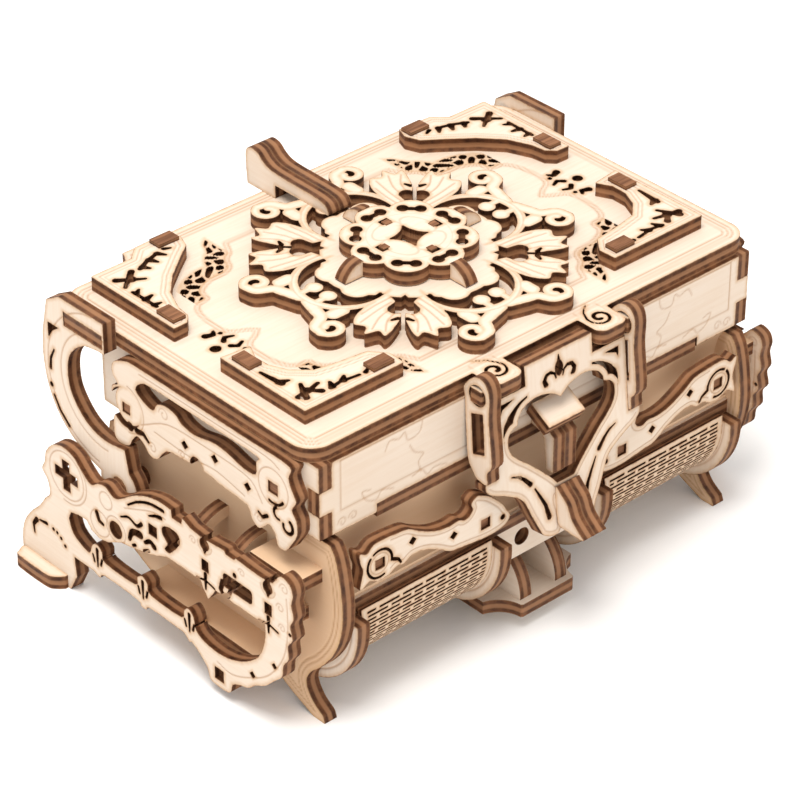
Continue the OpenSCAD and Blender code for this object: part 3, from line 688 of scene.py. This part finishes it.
for side, x in (("left", -55.7), ("right", 52.7)):
    cut("lid_side_cut_" + side, side_panel, (-38, 43, 25.6, 60), 0.4, (x, 0, 0), Y, Z, "lid", 1,
        ["lid_side_panel_" + side])
cut("lid_back_cut", lambda U, V: slab(U, V, -52.7, 43.6, 52.7, 59.5), (-53.4, 43, 53.4, 60.1), 0.4,
    (0, 25, 0), X, Z, "lid", 0, ["lid_back_panel"])

# ---- C-shaped arms ---------------------------------------------------------
# The arms that carry the lid's rear corners, cut from the same sheet. They
# hang it on the two hinge pins behind the side frames.


def c_arm(U, V):
    """A bow between an outer and an inner curve, joined to a disc at the hinge."""
    bow = smooth([(37.8, 55), (38, 49), (36.6, 42.4), (33, 36.8), (27, 32.8), (20, 30.6)], 5, False)
    inner = smooth([(13.8, 39.6), (20, 38.8), (25.4, 40.4), (29.4, 44.6), (30.4, 49), (29.4, 53.6),
                    (25.4, 57.4), (20.6, 58.6)], 5, False)
    d = outline(U, V, np.concatenate([[(18.6, 65.4), (32, 65.3), (36, 63)], bow, [(12.4, 33.2)],
                                      inner, [(18.6, 58.6)]]))
    d = np.minimum(d, disc(U, V, 16, 30, 5.6))
    holes = np.minimum.reduce([
        disc(U, V, 16, 30, 2.1), slab(U, V, 19.15, 59.45, 30.85, 62.55),
        outline(U, V, [(32.6, 58), (36, 58), (36, 54.4), (34.6, 56.6)]),
        stroke(U, V, [(34.4, 52.4), (35.6, 50), (35.9, 47.6)], 0.2, 0.42), disc(U, V, 35.9, 43.8, 0.55),
        stroke(U, V, [(35.2, 41.6), (33.6, 38.9), (31, 36.6)], 0.3, 0.4)])
    return np.maximum(d, -holes)


def c_lines(U, V):
    """Two arcs concentric with the bow."""
    return np.clip(scored(disc(U, V, 20.2, 49, 12.4), 0.18) * (U > 19)
                   + scored(disc(U, V, 20.2, 49, 16.4), 0.18) * (U > 22), 0, 1)


cut_pair("hinge_arm_cut_*", c_arm, (9.6, 23.8, 38.8, 66), 0.25, 57, "lid", 2, "hinge_arm_*",
         c_lines)
dress("hinge_pins", 0, 0, pale=False)

# ---- Lid plate -------------------------------------------------------------
# One sheet with a wider strip at the back and two tabs at the front that end
# in cut spirals. A pierced band of small leaves follows the engraved
# cartouche, and three engraved lines run round the rim. It lies on the panels.
TOP = 62.5
CART = [(36.3, 0), (38.2, 1.6), (41, 3.4), (41.5, 7), (41, 11), (39.6, 13.6), (36.6, 14.4),
        (35.6, 17.2), (32.4, 18.9), (28.4, 19.2), (26, 20.4), (24.6, 23), (22.6, 24.6),
        (21, 27.6)]


def cartouche(u, v):
    """Signed distance of the cartouche panel in the quarter u, v > 0."""
    side = smooth(CART, 5, closed=False)
    return outline(u, v, np.concatenate([[(-9, -9), (36.3, -9)], side, [(-9, 27.6)]]))


def rear_edge(U, V):
    """Rim of the lid: round corners, and a rear strip with hollow shoulders."""
    d = slab(U, V, -57, -36.3, 57, 36, 5)
    u = np.abs(U)
    strip = np.maximum(slab(u, V, -9, 10, 42.5, 40), -disc(u, V, 43.2, 40.6, 4.6))
    return np.minimum(d, strip)


def lid_field(U, V):
    """Plate and tabs, less the spirals, the leafy band and the end fleurs."""
    u, v = np.abs(U), np.abs(V - 1.6)
    d = rear_edge(U, V)
    d = np.minimum(d, slab(u, V, 56, 19.2, 60, 30.8))
    d = np.minimum(d, slab(u, V, 9.7, -42.6, 17.3, -34, 2.2))
    d = np.minimum(d, slab(u, V, 16.9, -42.3, 20.7, -39.3))
    spiral = stroke(u, V, curl(13.6, -38.2, 2.6, 150, 470, 0.25, 60), 0.22, 0.42)
    spiral = np.minimum(spiral, stroke(u, V, [(11.3, -37), (12.4, -35), (14.6, -33.4)], 0.22, 0.1))
    d = np.maximum(d, -spiral)
    c = cartouche(u, v)
    # the band beyond the cartouche is pierced between twining stems
    ring = np.maximum(1.0 - c, c - 4.6)
    stems = np.sin(u * 1.2 + 1.3 * np.sin(v * 0.85)) * np.sin(v * 1.25 + 1.2 * np.sin(u * 0.8))
    holes = np.maximum(ring, (0.34 - np.abs(stems)) * 1.1)
    # it runs from the front and back tabs to the ends, but leaves the corners of the panel
    holes = np.maximum(holes, np.maximum(23.5 - u, 24.0 - v - 0.4 * u + 30.0 * (u > 40)))
    # fleurs at the two ends
    f = np.minimum(slab(u, v, 45.5, -0.7, 48.3, 0.7) + 0.3, disc(u, v, 47, 0, 1.1))
    f = np.minimum(f, stroke(u, v, [(44.2, 1.0), (43.2, 2.0), (41.6, 1.3)], 0.55, 0.35))
    f = np.minimum(f, stroke(u, v, [(45.6, 4.6), (44.2, 4.0), (43.4, 5.0)], 0.8, 0.3))
    f = np.minimum(f, disc(u, v, 42.8, 3.6, 0.5))
    holes = np.where(u > 40.9, np.maximum(holes, 6.6 - v), holes)
    return np.maximum(d, -np.minimum(holes, f))


def lid_lines(U, V):
    """Lines at fixed distances from the rim, the cartouche and the tabs."""
    u, v = np.abs(U), np.abs(V - 1.6)
    edge = rear_edge(U, V)
    c = cartouche(u, v)
    k = sum(scored(edge + off, 0.22) for off in (1.5, 2.4, 3.4))
    k = k + scored(c, 0.25) + 0.8 * scored(c - 0.8, 0.25)
    k = k + 0.5 * scored(slab(u, V, 10.6, -41.8, 16.4, -33, 2), 0.2) * (V < -34)
    return np.clip(k, 0, 1)


cut("lid_plate_cut", lid_field, (-60.6, -44.6, 60.6, 40.8), 0.435, (0, 0, TOP - PLY), X, Y,
    "lid", 0, ["lid_plate"], lines=lid_lines)

# ---- Corner ornaments ------------------------------------------------------
# Four L-shaped pieces with hollow inner curves, held on the lid plate by
# tenons whose burnt ends show. Leaf-shaped openings follow the outer border.
REAR_ORN = [(51, 8.6), (51, 33.2), (41.4, 33.2), (38.4, 35.9), (30.4, 36.2), (29.4, 33.4),
            (30.6, 30.3), (34, 27.8), (39.6, 23.4), (43.8, 18.8), (46, 13.6), (46.4, 10.4),
            (48, 8.7)]
FRONT_ORN = [(51, -5), (51, -28.4), (27.4, -28.4), (27.2, -24.6), (29.8, -21.4), (36, -20.6),
             (41.2, -19.6), (44.6, -16.4), (46.3, -12.6), (46.4, -9), (44.8, -5.8)]


def rear_orn(U, V):
    """Rear pair: the outline less a row of tapered leaf strokes."""
    u = np.abs(U)
    d = outline(u, V, REAR_ORN) - 0.2
    holes = np.minimum.reduce([
        stroke(u, V, [(48.7, 16.6), (48.7, 20), (48.8, 23.6)], 0.45, 0.4),
        stroke(u, V, [(48.6, 17.4), (47.2, 17.2)], 0.7, 0.3),
        stroke(u, V, [(48.6, 20), (46.8, 20.4)], 0.8, 0.35),
        stroke(u, V, [(48.6, 22.8), (47.4, 23.6)], 0.65, 0.3),
        disc(u, V, 46.2, 27.4, 1.1), stroke(u, V, [(44, 25.8), (48.6, 29)], 0.35, 0.75),
        stroke(u, V, [(48.8, 25.8), (44.4, 29.6)], 0.45, 0.7),
        stroke(u, V, [(42.6, 29.2), (39.8, 30.6), (36.4, 31.6)], 0.5, 0.45),
        stroke(u, V, [(41.8, 29.4), (41, 28.2)], 0.8, 0.35),
        stroke(u, V, [(39.2, 30.6), (38.4, 29)], 0.85, 0.35),
        stroke(u, V, [(36.6, 31.4), (35.6, 30)], 0.75, 0.3),
        stroke(u, V, [(34.6, 32), (33.4, 31.4)], 0.5, 0.3)])
    return np.maximum(d, -holes)


def front_orn(U, V):
    """Front pair: the outline less a row of tapered leaf strokes."""
    u = np.abs(U)
    d = outline(u, V, FRONT_ORN) - 0.2
    holes = np.minimum.reduce([
        stroke(u, V, [(48.9, -13.6), (48.7, -16), (48.4, -19)], 0.35, 0.7),
        stroke(u, V, [(48.4, -18.4), (46.8, -19)], 0.9, 0.35),
        disc(u, V, 46.4, -23.8, 1.0), stroke(u, V, [(46, -21.4), (48.2, -25.4)], 0.4, 0.8),
        stroke(u, V, [(43.4, -23.2), (46.4, -24), (49, -24.4)], 0.4, 0.7),
        stroke(u, V, [(44.6, -25.6), (46.2, -24)], 0.7, 0.4),
        stroke(u, V, [(42.8, -26), (40.2, -25.6), (36, -26.2)], 0.45, 0.35),
        stroke(u, V, [(42.2, -25.8), (41.6, -24.4)], 0.75, 0.35),
        stroke(u, V, [(39.4, -25.6), (38.4, -24.6)], 0.8, 0.35),
        stroke(u, V, [(34.6, -26.3), (33.4, -25.6)], 0.5, 0.3)])
    return np.maximum(d, -holes)


def border_lines(U, V, shape):
    """Two lines that follow the ornament's border."""
    o = outline(np.abs(U), V, shape)
    return np.clip(scored(o + 0.9, 0.16) + 0.8 * scored(o + 1.7, 0.16), 0, 1)


cut("corner_rear", rear_orn, (-51.8, 8, 51.8, 37), 0.3, (0, 0, TOP), X, Y, "lid", 0,
    ["lid_corner_ornaments"],
    lines=lambda U, V: border_lines(U, V, REAR_ORN) * (rear_orn(U, V) < 0))
cut("corner_front", front_orn, (-51.8, -29.2, 51.8, -4.4), 0.3, (0, 0, TOP), X, Y, "lid", 0,
    ["lid_corner_ornaments"],
    lines=lambda U, V: border_lines(U, V, FRONT_ORN))
dress("lid_ornament_pegs", 2, 0, pale=False)

# ---- Medallion -------------------------------------------------------------
# A pierced rose of four looped arms and four pairs of leaves, with eight
# curled ends, glued flat on the lid. The rosette's hub turns in its middle.


def medal_quarter(u, v):
    """Field of the quarter: half of two arms, one pair of leaves, two curls."""
    d = np.hypot(u, v) - 17.2
    for s, t in ((u, v), (v, u)):
        d = np.minimum(d, disc(s, t, 17.2, 0, 10.1))
        # the arm's stem out to its curled end
        stem = smooth([(26.5, 1.2), (27.6, 4.6), (28.4, 6.8), (31.2, 8.4), (31.9, 11)], 5, False)
        d = np.minimum(d, stroke(s, t, stem, 1.5, 1.1))
        d = np.minimum(d, stroke(s, t, curl(29.4, 10.6, 2.6, 20, 290, 0.42, 20), 0.9, 0.95))
        d = np.minimum(d, stroke(s, t, [(24, 7.6), (26, 7.6)], 1.6))
    leaf = smooth([(13.5, 8), (18, 9.2), (22.6, 10.4), (25.4, 12.6), (24.4, 14.8), (26.2, 16.6),
                   (23.6, 17.6), (23.8, 19.6), (20.6, 18.6), (16, 15.4)], 4)
    d = np.minimum(d, outline(u, v, leaf))
    d = np.minimum(d, outline(v, u, leaf))
    return d


def medal_field(U, V):
    """The quarter drawn in all four, less hearts, slits and crescents."""
    u, v = np.abs(U), np.abs(V)
    d = medal_quarter(u, v)
    hole = np.hypot(U, V) - 2.6
    # heart-shaped piercings on the diagonals, points inward
    p, q = (u + v) / math.sqrt(2), np.abs(u - v) / math.sqrt(2)
    heart = np.minimum(disc(p, q, 21.3, 1.45, 1.6),
                       outline(p, q, [(16.2, -1), (16.2, 0), (20.6, 2.9), (22.6, 0), (22.6, -1)]))
    hole = np.minimum(hole, heart)
    # slit between the two leaves
    hole = np.minimum(hole, stroke(p, q, [(25.4, 0), (29, 0), (33, 0)], 0.35, 1.5))
    hole = np.minimum(hole, stroke(p, q, [(24.6, 0.9), (25.2, 2.0)], 0.5, 0.3))
    for s, t in ((u, v), (v, u)):
        # crescent inside the arm round a two-lobed tongue and two curls
        loop = disc(s, t, 16.4, 0, 8.9)
        tongue = np.minimum.reduce([disc(s, t, 11, 0, 8.3), disc(s, t, 16.6, 3.7, 3.2),
                                    disc(s, t, 12.8, 3.4, 5.2)])
        curls = np.minimum(disc(s, t, 22.4, 2.0, 1.75), slab(s, t, 22.4, 1.4, 26, 3.0))
        gap = np.maximum.reduce([loop, -tongue, -curls, 12.6 - s])
        hole = np.minimum(hole, gap)
        hole = np.minimum(hole, stroke(s, t, [(14.6, 8.0), (16.4, 8.4), (18.2, 7.9)], 0.35, 0.5))
    return np.maximum(d, -hole)


def medal_lines(U, V):
    """Veins along each leaf and an arc along each arm."""
    u, v = np.abs(U), np.abs(V)
    k = 0
    for s, t in ((u, v), (v, u)):
        for a, b, c in (((15, 11.5), (19, 12), (24, 13)), ((16, 13.2), (20, 14), (24, 16.2)),
                        ((17, 14.8), (20, 16), (22.6, 18.4)), ((14, 10.2), (18, 10.4), (22, 11))):
            k = k + scored(stroke(s, t, smooth([a, b, c], 4, False), 0.0), 0.2)
        k = k + 0.6 * scored(disc(s, t, 17.2, 0, 9.5), 0.16) * (s > 17)
    return np.clip(k, 0, 1)


cut("medallion_cut", medal_field, (-33.6, -33.6, 33.6, 33.6), 0.25, (0, 0, TOP), X, Y, "lid", 0,
    ["medallion"], lines=medal_lines)

# ---- Rosette ---------------------------------------------------------------
# A turning knob: one ring with eight scallops and eight two-lobed openings,
# four petals spiralling round a star, and four quarter-round grips below.
ROS = TOP + PLY + 0.3
PETAL_LONG, PETAL_WIDE, PETAL_LEAN = 3.9, 2.25, 0.26


def petals(U, V):
    """Four leaning ovals, each a quarter turn on from the last."""
    d = np.full(U.shape, 99.0)
    for k in range(4):
        c, s = math.cos(k * math.pi / 2), math.sin(k * math.pi / 2)
        x, y = U * c + V * s + 2.0, -U * s + V * c - 4.1
        ca, sa = math.cos(PETAL_LEAN), math.sin(PETAL_LEAN)
        p, q = x * ca + y * sa, -x * sa + y * ca
        d = np.minimum(d, (np.hypot(p / PETAL_LONG, q / PETAL_WIDE) - 1) * PETAL_WIDE)
    return d


def rosette_field(U, V):
    """Eight scallops folded from one, less beans, the star and four slots."""
    r, a = np.hypot(U, V), np.arctan2(V, U)
    b = np.mod(a + math.pi / 8, math.pi / 4) - math.pi / 8
    p, q = r * np.cos(b), np.abs(r * np.sin(b))
    d = np.minimum(r - 10.6, disc(p, q, 8.9, 0, 4.55))
    hole = np.minimum(disc(p, q, 10.2, 1.75, 1.2), slab(p, q, 9.5, -1, 10.7, 1.8))
    hole = np.minimum(hole, np.maximum(r - 3.9, -petals(U, V)))
    c = np.mod(a + math.pi / 4, math.pi / 2) - math.pi / 4
    x, y = r * np.cos(c), r * np.sin(c)
    hole = np.minimum(hole, slab(x, y, 6.2, -1.15, 7.8, 1.15))
    return np.maximum(d, -hole)


def rosette_lines(U, V):
    """The petals' outlines and one ring."""
    r = np.hypot(U, V)
    return np.clip(0.55 * scored(petals(U, V), 0.16) + 0.35 * scored(r - 8.3, 0.16), 0, 1)


cut("rosette_cut", rosette_field, (-14, -14, 14, 14), 0.16, (0, 0, ROS), X, Y, "rosette", 0,
    ["rosette_ring"], lines=rosette_lines)


def grip(U, V):
    """Quarter-round in a radial plane: U outward, V up."""
    return np.maximum.reduce([disc(U, V, 13.1, TOP + PLY - 1.2, 4.8), 13.0 - U,
                              TOP + PLY + 0.25 - V])


for k in range(4):
    c, s = round(math.cos(k * math.pi / 2)), round(math.sin(k * math.pi / 2))
    cut("rosette_grip_%d" % k, grip, (12.6, 65, 18.6, 69.6), 0.12,
        (-s * PLY / 2, c * PLY / 2, 0), (c, s, 0), Z, "rosette", 2, ["rosette_grips"])
for node in ("rosette_pegs", "rosette_axle"):
    dress(node, 2, 0, pale=False)

# ---- Strap -----------------------------------------------------------------
# Two plies side by side, curving from the medallion's rear arm over the
# lid's back edge; only their burnt edges face up.
STRAP = [(20, 65.5), (36, 65.5), (36, 62.5), (44.6, 62.5)]


def strap(U, V):
    """Side view of one ply: straight foot, smooth back rising to a horn."""
    top = smooth([(44.9, 66), (44.9, 69.6), (43.7, 71), (41.4, 70.8), (39.4, 69.3), (36.8, 68.4),
                  (31, 68.2), (24.4, 68.1), (21.2, 67.6), (20, 66.2)], 4, False)
    return outline(U, V, np.concatenate([STRAP, top]))


for i, x in enumerate((-PLY, 0.02)):
    cut("strap_ply_%d" % i, strap, (19.4, 62, 45.6, 71.8), 0.25, (x, 0, 0), Y, Z, "lid", 1,
        ["lid_strap"])

# ---- Lid side scrolls ------------------------------------------------------
# A long rail with a volute at each end, pinned outside each side of the lid
# by square tenons, with curled leaves above and below it.
SCROLL = [(17.6, 57.2), (14, 58.9), (10, 59.3), (-10, 59.3), (-24, 59.3), (-28, 59.4),
          (-31.6, 59.3), (-33.4, 58.6), (-32.6, 56.4), (-33.6, 54), (-34.6, 52.2), (-33.4, 49.8),
          (-34.6, 48), (-34.7, 45), (-33, 42), (-31.4, 39.8), (-29.2, 39.8), (-28.6, 41.8),
          (-27, 43.4), (-25.4, 42), (-23.6, 41), (-21.8, 42.4), (-20.6, 44.4), (-14, 44.9),
          (-8, 45.6), (-2, 45.1), (1.6, 44.8), (3.6, 43.4), (5.4, 41.2), (7.6, 40.9), (9.4, 42.6),
          (11.4, 43.4), (13, 41.6), (14, 40), (16.6, 39.3), (18.3, 40.4), (18.4, 44), (17.6, 46),
          (18.4, 48.4), (18.4, 51.6), (16.6, 52.6), (18.2, 54.6)]


def side_scroll(U, V):
    """A smooth closed outline less the long slot, pin holes and curls."""
    d = outline(U, V, smooth(SCROLL, 3))
    slot = outline(U, V, smooth([(11.2, 54), (9.6, 56), (6, 56.8), (-12, 56.8), (-23.6, 56.8),
                                 (-23.6, 55.4), (-23.4, 52.6), (-20, 52.2), (-15, 53.3),
                                 (-11, 53.4), (-6, 52.4), (-2.4, 53), (-0.6, 54.2), (2.2, 54.6),
                                 (4.8, 53.8), (6.2, 51.8), (9, 52.4)], 3))
    holes = np.minimum.reduce([
        slot, slab(U, V, -29.5, 50.8, -26.9, 53.2), slab(U, V, 13.2, 47.1, 15.4, 49.3),
        np.maximum(disc(U, V, 14.6, 48.2, 4.4), -disc(U, V, 13.4, 49.2, 4.0)) + 0.05,
        disc(U, V, 13.4, 44.6, 1.0), stroke(U, V, [(11.4, 44.6), (9.4, 44.9), (8, 43.8)], 0.7, 0.35),
        np.maximum(disc(U, V, -6.3, 45.6, 1.9), 45.5 - V),
        stroke(U, V, curl(-28.2, 52, 3.3, -70, -75, 1.0, 8), 0.3),
        stroke(U, V, curl(-32, 45.4, 1.6, 120, 250, 0.7, 14), 0.42, 0.3),
        stroke(U, V, curl(-29.6, 47, 1.4, 60, -160, 0.8, 10), 0.36, 0.25),
        stroke(U, V, [(-26.4, 45), (-25, 44), (-24, 44.6)], 0.4, 0.3)])
    for x, z in ((-3, 48.7), (-11.7, 50), (-21, 48.6)):
        holes = np.minimum(holes, np.abs(U - x) + np.abs(V - z) - 1.0)
    return np.maximum(d, -holes)


def side_lines(U, V):
    """Three flowing lines, five spirals and two rings."""
    k = 0
    for line in ([(10, 57.9), (-12, 58), (-26, 58), (-30, 57)],
                 [(10, 46.6), (2, 50.6), (-8, 51.2), (-16, 51.2), (-22, 50.4), (-25, 47)],
                 [(6, 47), (-4, 46.6), (-12, 47.4), (-20, 46)]):
        k = k + scored(stroke(U, V, smooth(line, 4, False), 0.0), 0.16)
    for x, z, r in ((3, 52.3, 1.5), (6.8, 43, 1.3), (-24, 43.2, 1.2), (-29, 48.4, 1.0), (-2, 46, 1)):
        k = k + 0.8 * scored(stroke(U, V, curl(x, z, r, 0, 420, 0.3, 16), 0.0), 0.15)
    k = k + scored(disc(U, V, -28.2, 52, 4.1), 0.16)
    k = k + scored(disc(U, V, 14.4, 48.2, 5.2), 0.16) * (U < 14)
    return np.clip(k, 0, 1)


cut_pair("lid_scroll_cut_*", side_scroll, (-35.4, 38.6, 19.1, 60), 0.2, 55.7, "lid", 1,
         "lid_scroll_*", side_lines)
dress("lid_scroll_pegs", 0, 0, pale=False)

# ---- Lifting block ---------------------------------------------------------
# Two plies side by side hang from the lid's front as a hook, under a small
# sloping cap: the handle that shows through the heart.
for i, x in enumerate((-PLY, 0)):
    cut("lift_ply_%d" % i,
        lambda U, V: outline(U, V, [(-37.45, 45.6), (-37.45, 48.8), (-42.7, 45.7), (-43.6, 45.1),
                                    (-43.6, 37.2), (-41.6, 37.2), (-41, 43.6), (-40, 45)]),
        (-44.2, 36.6, -36.8, 49.4), 0.2, (x + 0.01, 0, 0), Y, Z, "lid", 2, ["lift_block"],
        thick=PLY - 0.02)
tilt = math.radians(31)
cut("lift_cap_cut", lambda U, V: slab(U, V, -4.75, 0, 4.75, 5.8, 0.2), (-5.4, -0.6, 5.4, 6.4), 0.2,
    (0, -42.6, 46.1), X, (0, math.cos(tilt), math.sin(tilt)), "lid", 0, ["lift_cap"], thick=2.8)

# ---- Clasp -----------------------------------------------------------------
# A hanging plate with a heart-shaped window and a fleur above it, two
# slotted arms that swing on the lid's tongues, and a two-ply hooked lip.
lean = math.radians(6.5)
PIV = (-40.8, 61.0)
HEART = [(0, 52.4), (1.8, 53.8), (4.4, 54.7), (7, 54.8), (9.6, 53.9), (11, 52.3), (11.3, 51.1),
         (13, 50.4), (13.9, 48.6), (13.5, 46.2), (11.7, 44), (9.2, 41.9), (5.2, 38.1), (3.2, 36),
         (2.2, 34.8)]
TIPS = [(20.2, 42), (20.1, 40.6), (18.6, 39.2), (16, 38), (14, 36.9), (12, 35.6),
        (10.6, 33.8), (9.3, 30.7), (8.5, 29), (7.4, 26.7), (6.6, 25.2), (4.8, 24.2), (2.8, 24),
        (1.9, 25.6), (2, 28.4), (2.6, 30.8)]


def heart(U, V):
    """The heart-shaped window, mirrored about u = 0."""
    u = np.abs(U)
    return outline(u, V, np.concatenate([[(-5, 52.4)], smooth(HEART, 4, False), [(-5, 34.8)]]))


def clasp_rim(U, V):
    """The clasp plate's outer edge, mirrored about u = 0."""
    u = np.abs(U)
    return outline(u, V, np.concatenate([
        [(-5, 62.4), (8.7, 62.4), (8.7, 58.2), (17.25, 58.2), (17.25, 42)],
        smooth(TIPS, 3, False), [(2.6, 32), (-5, 32)]]))


def clasp_field(U, V):
    """The plate less the heart, the fleur and the slits that follow it."""
    u = np.abs(U)
    h = heart(U, V)
    d = np.maximum(clasp_rim(U, V), -h)
    leaf = np.maximum(disc(u, V, 0.95, 58.6, 2.0), disc(u, V, -0.95, 58.6, 2.0))
    holes = np.minimum.reduce([
        np.maximum(leaf, 56.6 - V), stroke(u, V, [(0, 61.4), (0, 60)], 0.12, 0.4),
        stroke(u, V, [(0.9, 56.8), (1.2, 57.8), (2.2, 58.4), (3.3, 58.2), (3.9, 57.2), (3.6, 56.4)],
               0.15, 0.55),
        stroke(u, V, [(3.6, 56.4), (3.2, 56.2)], 0.5, 0.3),
        outline(u, V, [(11.8, 56.8), (15.4, 56.8), (15.3, 54.6), (14.8, 55.7), (13.4, 56.2)]),
        np.maximum.reduce([1.25 - h, h - 2.9 + 0.45 * np.abs(V - 53.4), 49.2 - V, V - 56.4,
                           8.4 - u]),
        stroke(u, V, [(13.6, 40.9), (12, 40.3), (10.6, 39.2), (9, 37.4)], 0.12, 0.5),
        stroke(u, V, [(8, 36), (6.8, 33.8), (5.6, 31.4), (4.8, 28.4)], 0.15, 0.55)])
    return np.maximum(d, -holes)


def clasp_lines(U, V):
    """Lines beside the heart and inside the lower rim."""
    return np.clip(scored(heart(U, V) - 0.9, 0.15) * (V < 49)
                   + 0.8 * scored(clasp_rim(U, V) + 0.9, 0.16) * (V < 41), 0, 1)


def leant(y, z):
    """A point of the hanging clasp after its lean about the pivot."""
    dy, dz = y - PIV[0], z - PIV[1]
    return (0, PIV[0] + dy * math.cos(lean) + dz * math.sin(lean),
            PIV[1] - dy * math.sin(lean) + dz * math.cos(lean))


up = (0, math.sin(lean), math.cos(lean))
cut("clasp_cut", clasp_field, (-20.8, 23.4, 20.8, 63.2), 0.18, leant(-38.1, 0), X, up, "clasp", 2,
    ["clasp_plate"], lines=clasp_lines)


def clasp_arm(U, V):
    """Side view: a smooth upright with a round pivot hole and a long slot."""
    d = outline(U, V, smooth([(-37.2, 61.4), (-37.5, 59), (-37.8, 54), (-38.5, 46.4), (-40, 43.9),
                              (-41.2, 42.7), (-43.8, 42.6), (-43.7, 45.2), (-44.9, 47.2),
                              (-44.5, 52), (-43.9, 57), (-44, 61.6), (-43.3, 64), (-41.8, 65),
                              (-40.2, 64.8), (-38.6, 63.6)], 3))
    holes = np.minimum(disc(U, V, -40.8, 61, 2.2),
                       outline(U, V, [(-39.4, 56.4), (-42.2, 57.4), (-42.8, 49), (-40, 48)]) - 0.15)
    return np.maximum(d, -holes)


cut_pair("clasp_arm_cut_*", clasp_arm, (-45.8, 41.8, -36.4, 65.8), 0.18, 17.3, "clasp", 2,
         "clasp_arms")
for i, x in enumerate((-PLY, 0)):
    cut("prong_ply_%d" % i,
        lambda U, V: outline(U, V, smooth([(-41.2, 34.2), (-42.9, 33), (-44.4, 31.3), (-45.4, 28.4),
                                           (-47.2, 26.3), (-48.3, 25), (-45.8, 25), (-43.2, 25.5),
                                           (-41.2, 26.5)], 3)) + 0.05,
        (-49.2, 24, -40.6, 35), 0.18, (x + 0.01,) + leant(0, 0)[1:],
        (0, math.cos(lean), -math.sin(lean)), up, "clasp", 2, ["clasp_prong"], thick=PLY - 0.02)

# ---- Floor, light and view -------------------------------------------------
# A sheet of pale paper under the box, one soft lamp high on the left and an
# even sky, seen through a long lens.
floor_mat = bpy.data.materials.new("paper")
nt, bs = tree(floor_mat)
link(nt, mixed(nt, noise(nt, 3, (1, 1, 1), 2), (0.93, 0.93, 0.93, 1), (0.96, 0.96, 0.96, 1)),
     bs.inputs["Base Color"])
bs.inputs["Roughness"].default_value = 0.9
bs.inputs["Specular IOR Level"].default_value = 0.1
me = bpy.data.meshes.new("paper")
SPOKES = 48
turn = np.arange(SPOKES) * 2 * math.pi / SPOKES
ring_pts = np.concatenate([np.stack([r * np.cos(turn), r * np.sin(turn), 0 * turn], 1)
                           for r in (0.4, 1.2, 4.0)])
here, after = np.arange(SPOKES), (np.arange(SPOKES) + 1) % SPOKES
ring_faces = [here.tolist()]
for k in (0, SPOKES):
    ring_faces += np.stack([k + here, k + SPOKES + here, k + SPOKES + after, k + after], 1).tolist()
me.from_pydata(ring_pts.tolist(), [], ring_faces)
me.materials.append(floor_mat)
paper = bpy.data.objects.new("paper", me)
bpy.context.scene.collection.objects.link(paper)

scene = bpy.context.scene
world = bpy.data.worlds.new("studio")
scene.world = world
world.use_nodes = True
world.node_tree.nodes["Background"].inputs[0].default_value = (1.0, 0.99, 0.975, 1)
world.node_tree.nodes["Background"].inputs[1].default_value = 0.98


def lamp(name, spot, aim, size, power, colour=(1, 0.97, 0.93)):
    """Soft square lamp at spot, aimed at a point of the box."""
    li = bpy.data.lights.new(name, "AREA")
    li.size, li.energy, li.color = size, power, colour
    ob = bpy.data.objects.new(name, li)
    scene.collection.objects.link(ob)
    ob.location = spot
    ob.rotation_euler = (Vector(aim) - Vector(spot)).to_track_quat("-Z", "Y").to_euler()


lamp("key", (-0.20, -0.10, 0.70), (0, 0, 0.03), 0.34, 4.4)

cam = bpy.data.cameras.new("view")
cam.lens = 159.41
cam.sensor_width = 36
cam.clip_start = 0.05
eye = bpy.data.objects.new("view", cam)
scene.collection.objects.link(eye)
az, el, away = math.radians(-42.169), math.radians(33.583), 0.70447
back = Vector((math.sin(az) * math.cos(el), -math.cos(az) * math.cos(el), math.sin(el)))
aim = Vector((0.002135, 0.004954 + BACK * 0.001, 0.027629))
eye.location = aim + back * away
eye.rotation_euler = (-back).to_track_quat("-Z", "Y").to_euler()
scene.camera = eye
scene.view_settings.view_transform = "Standard"
scene.view_settings.look = "None"
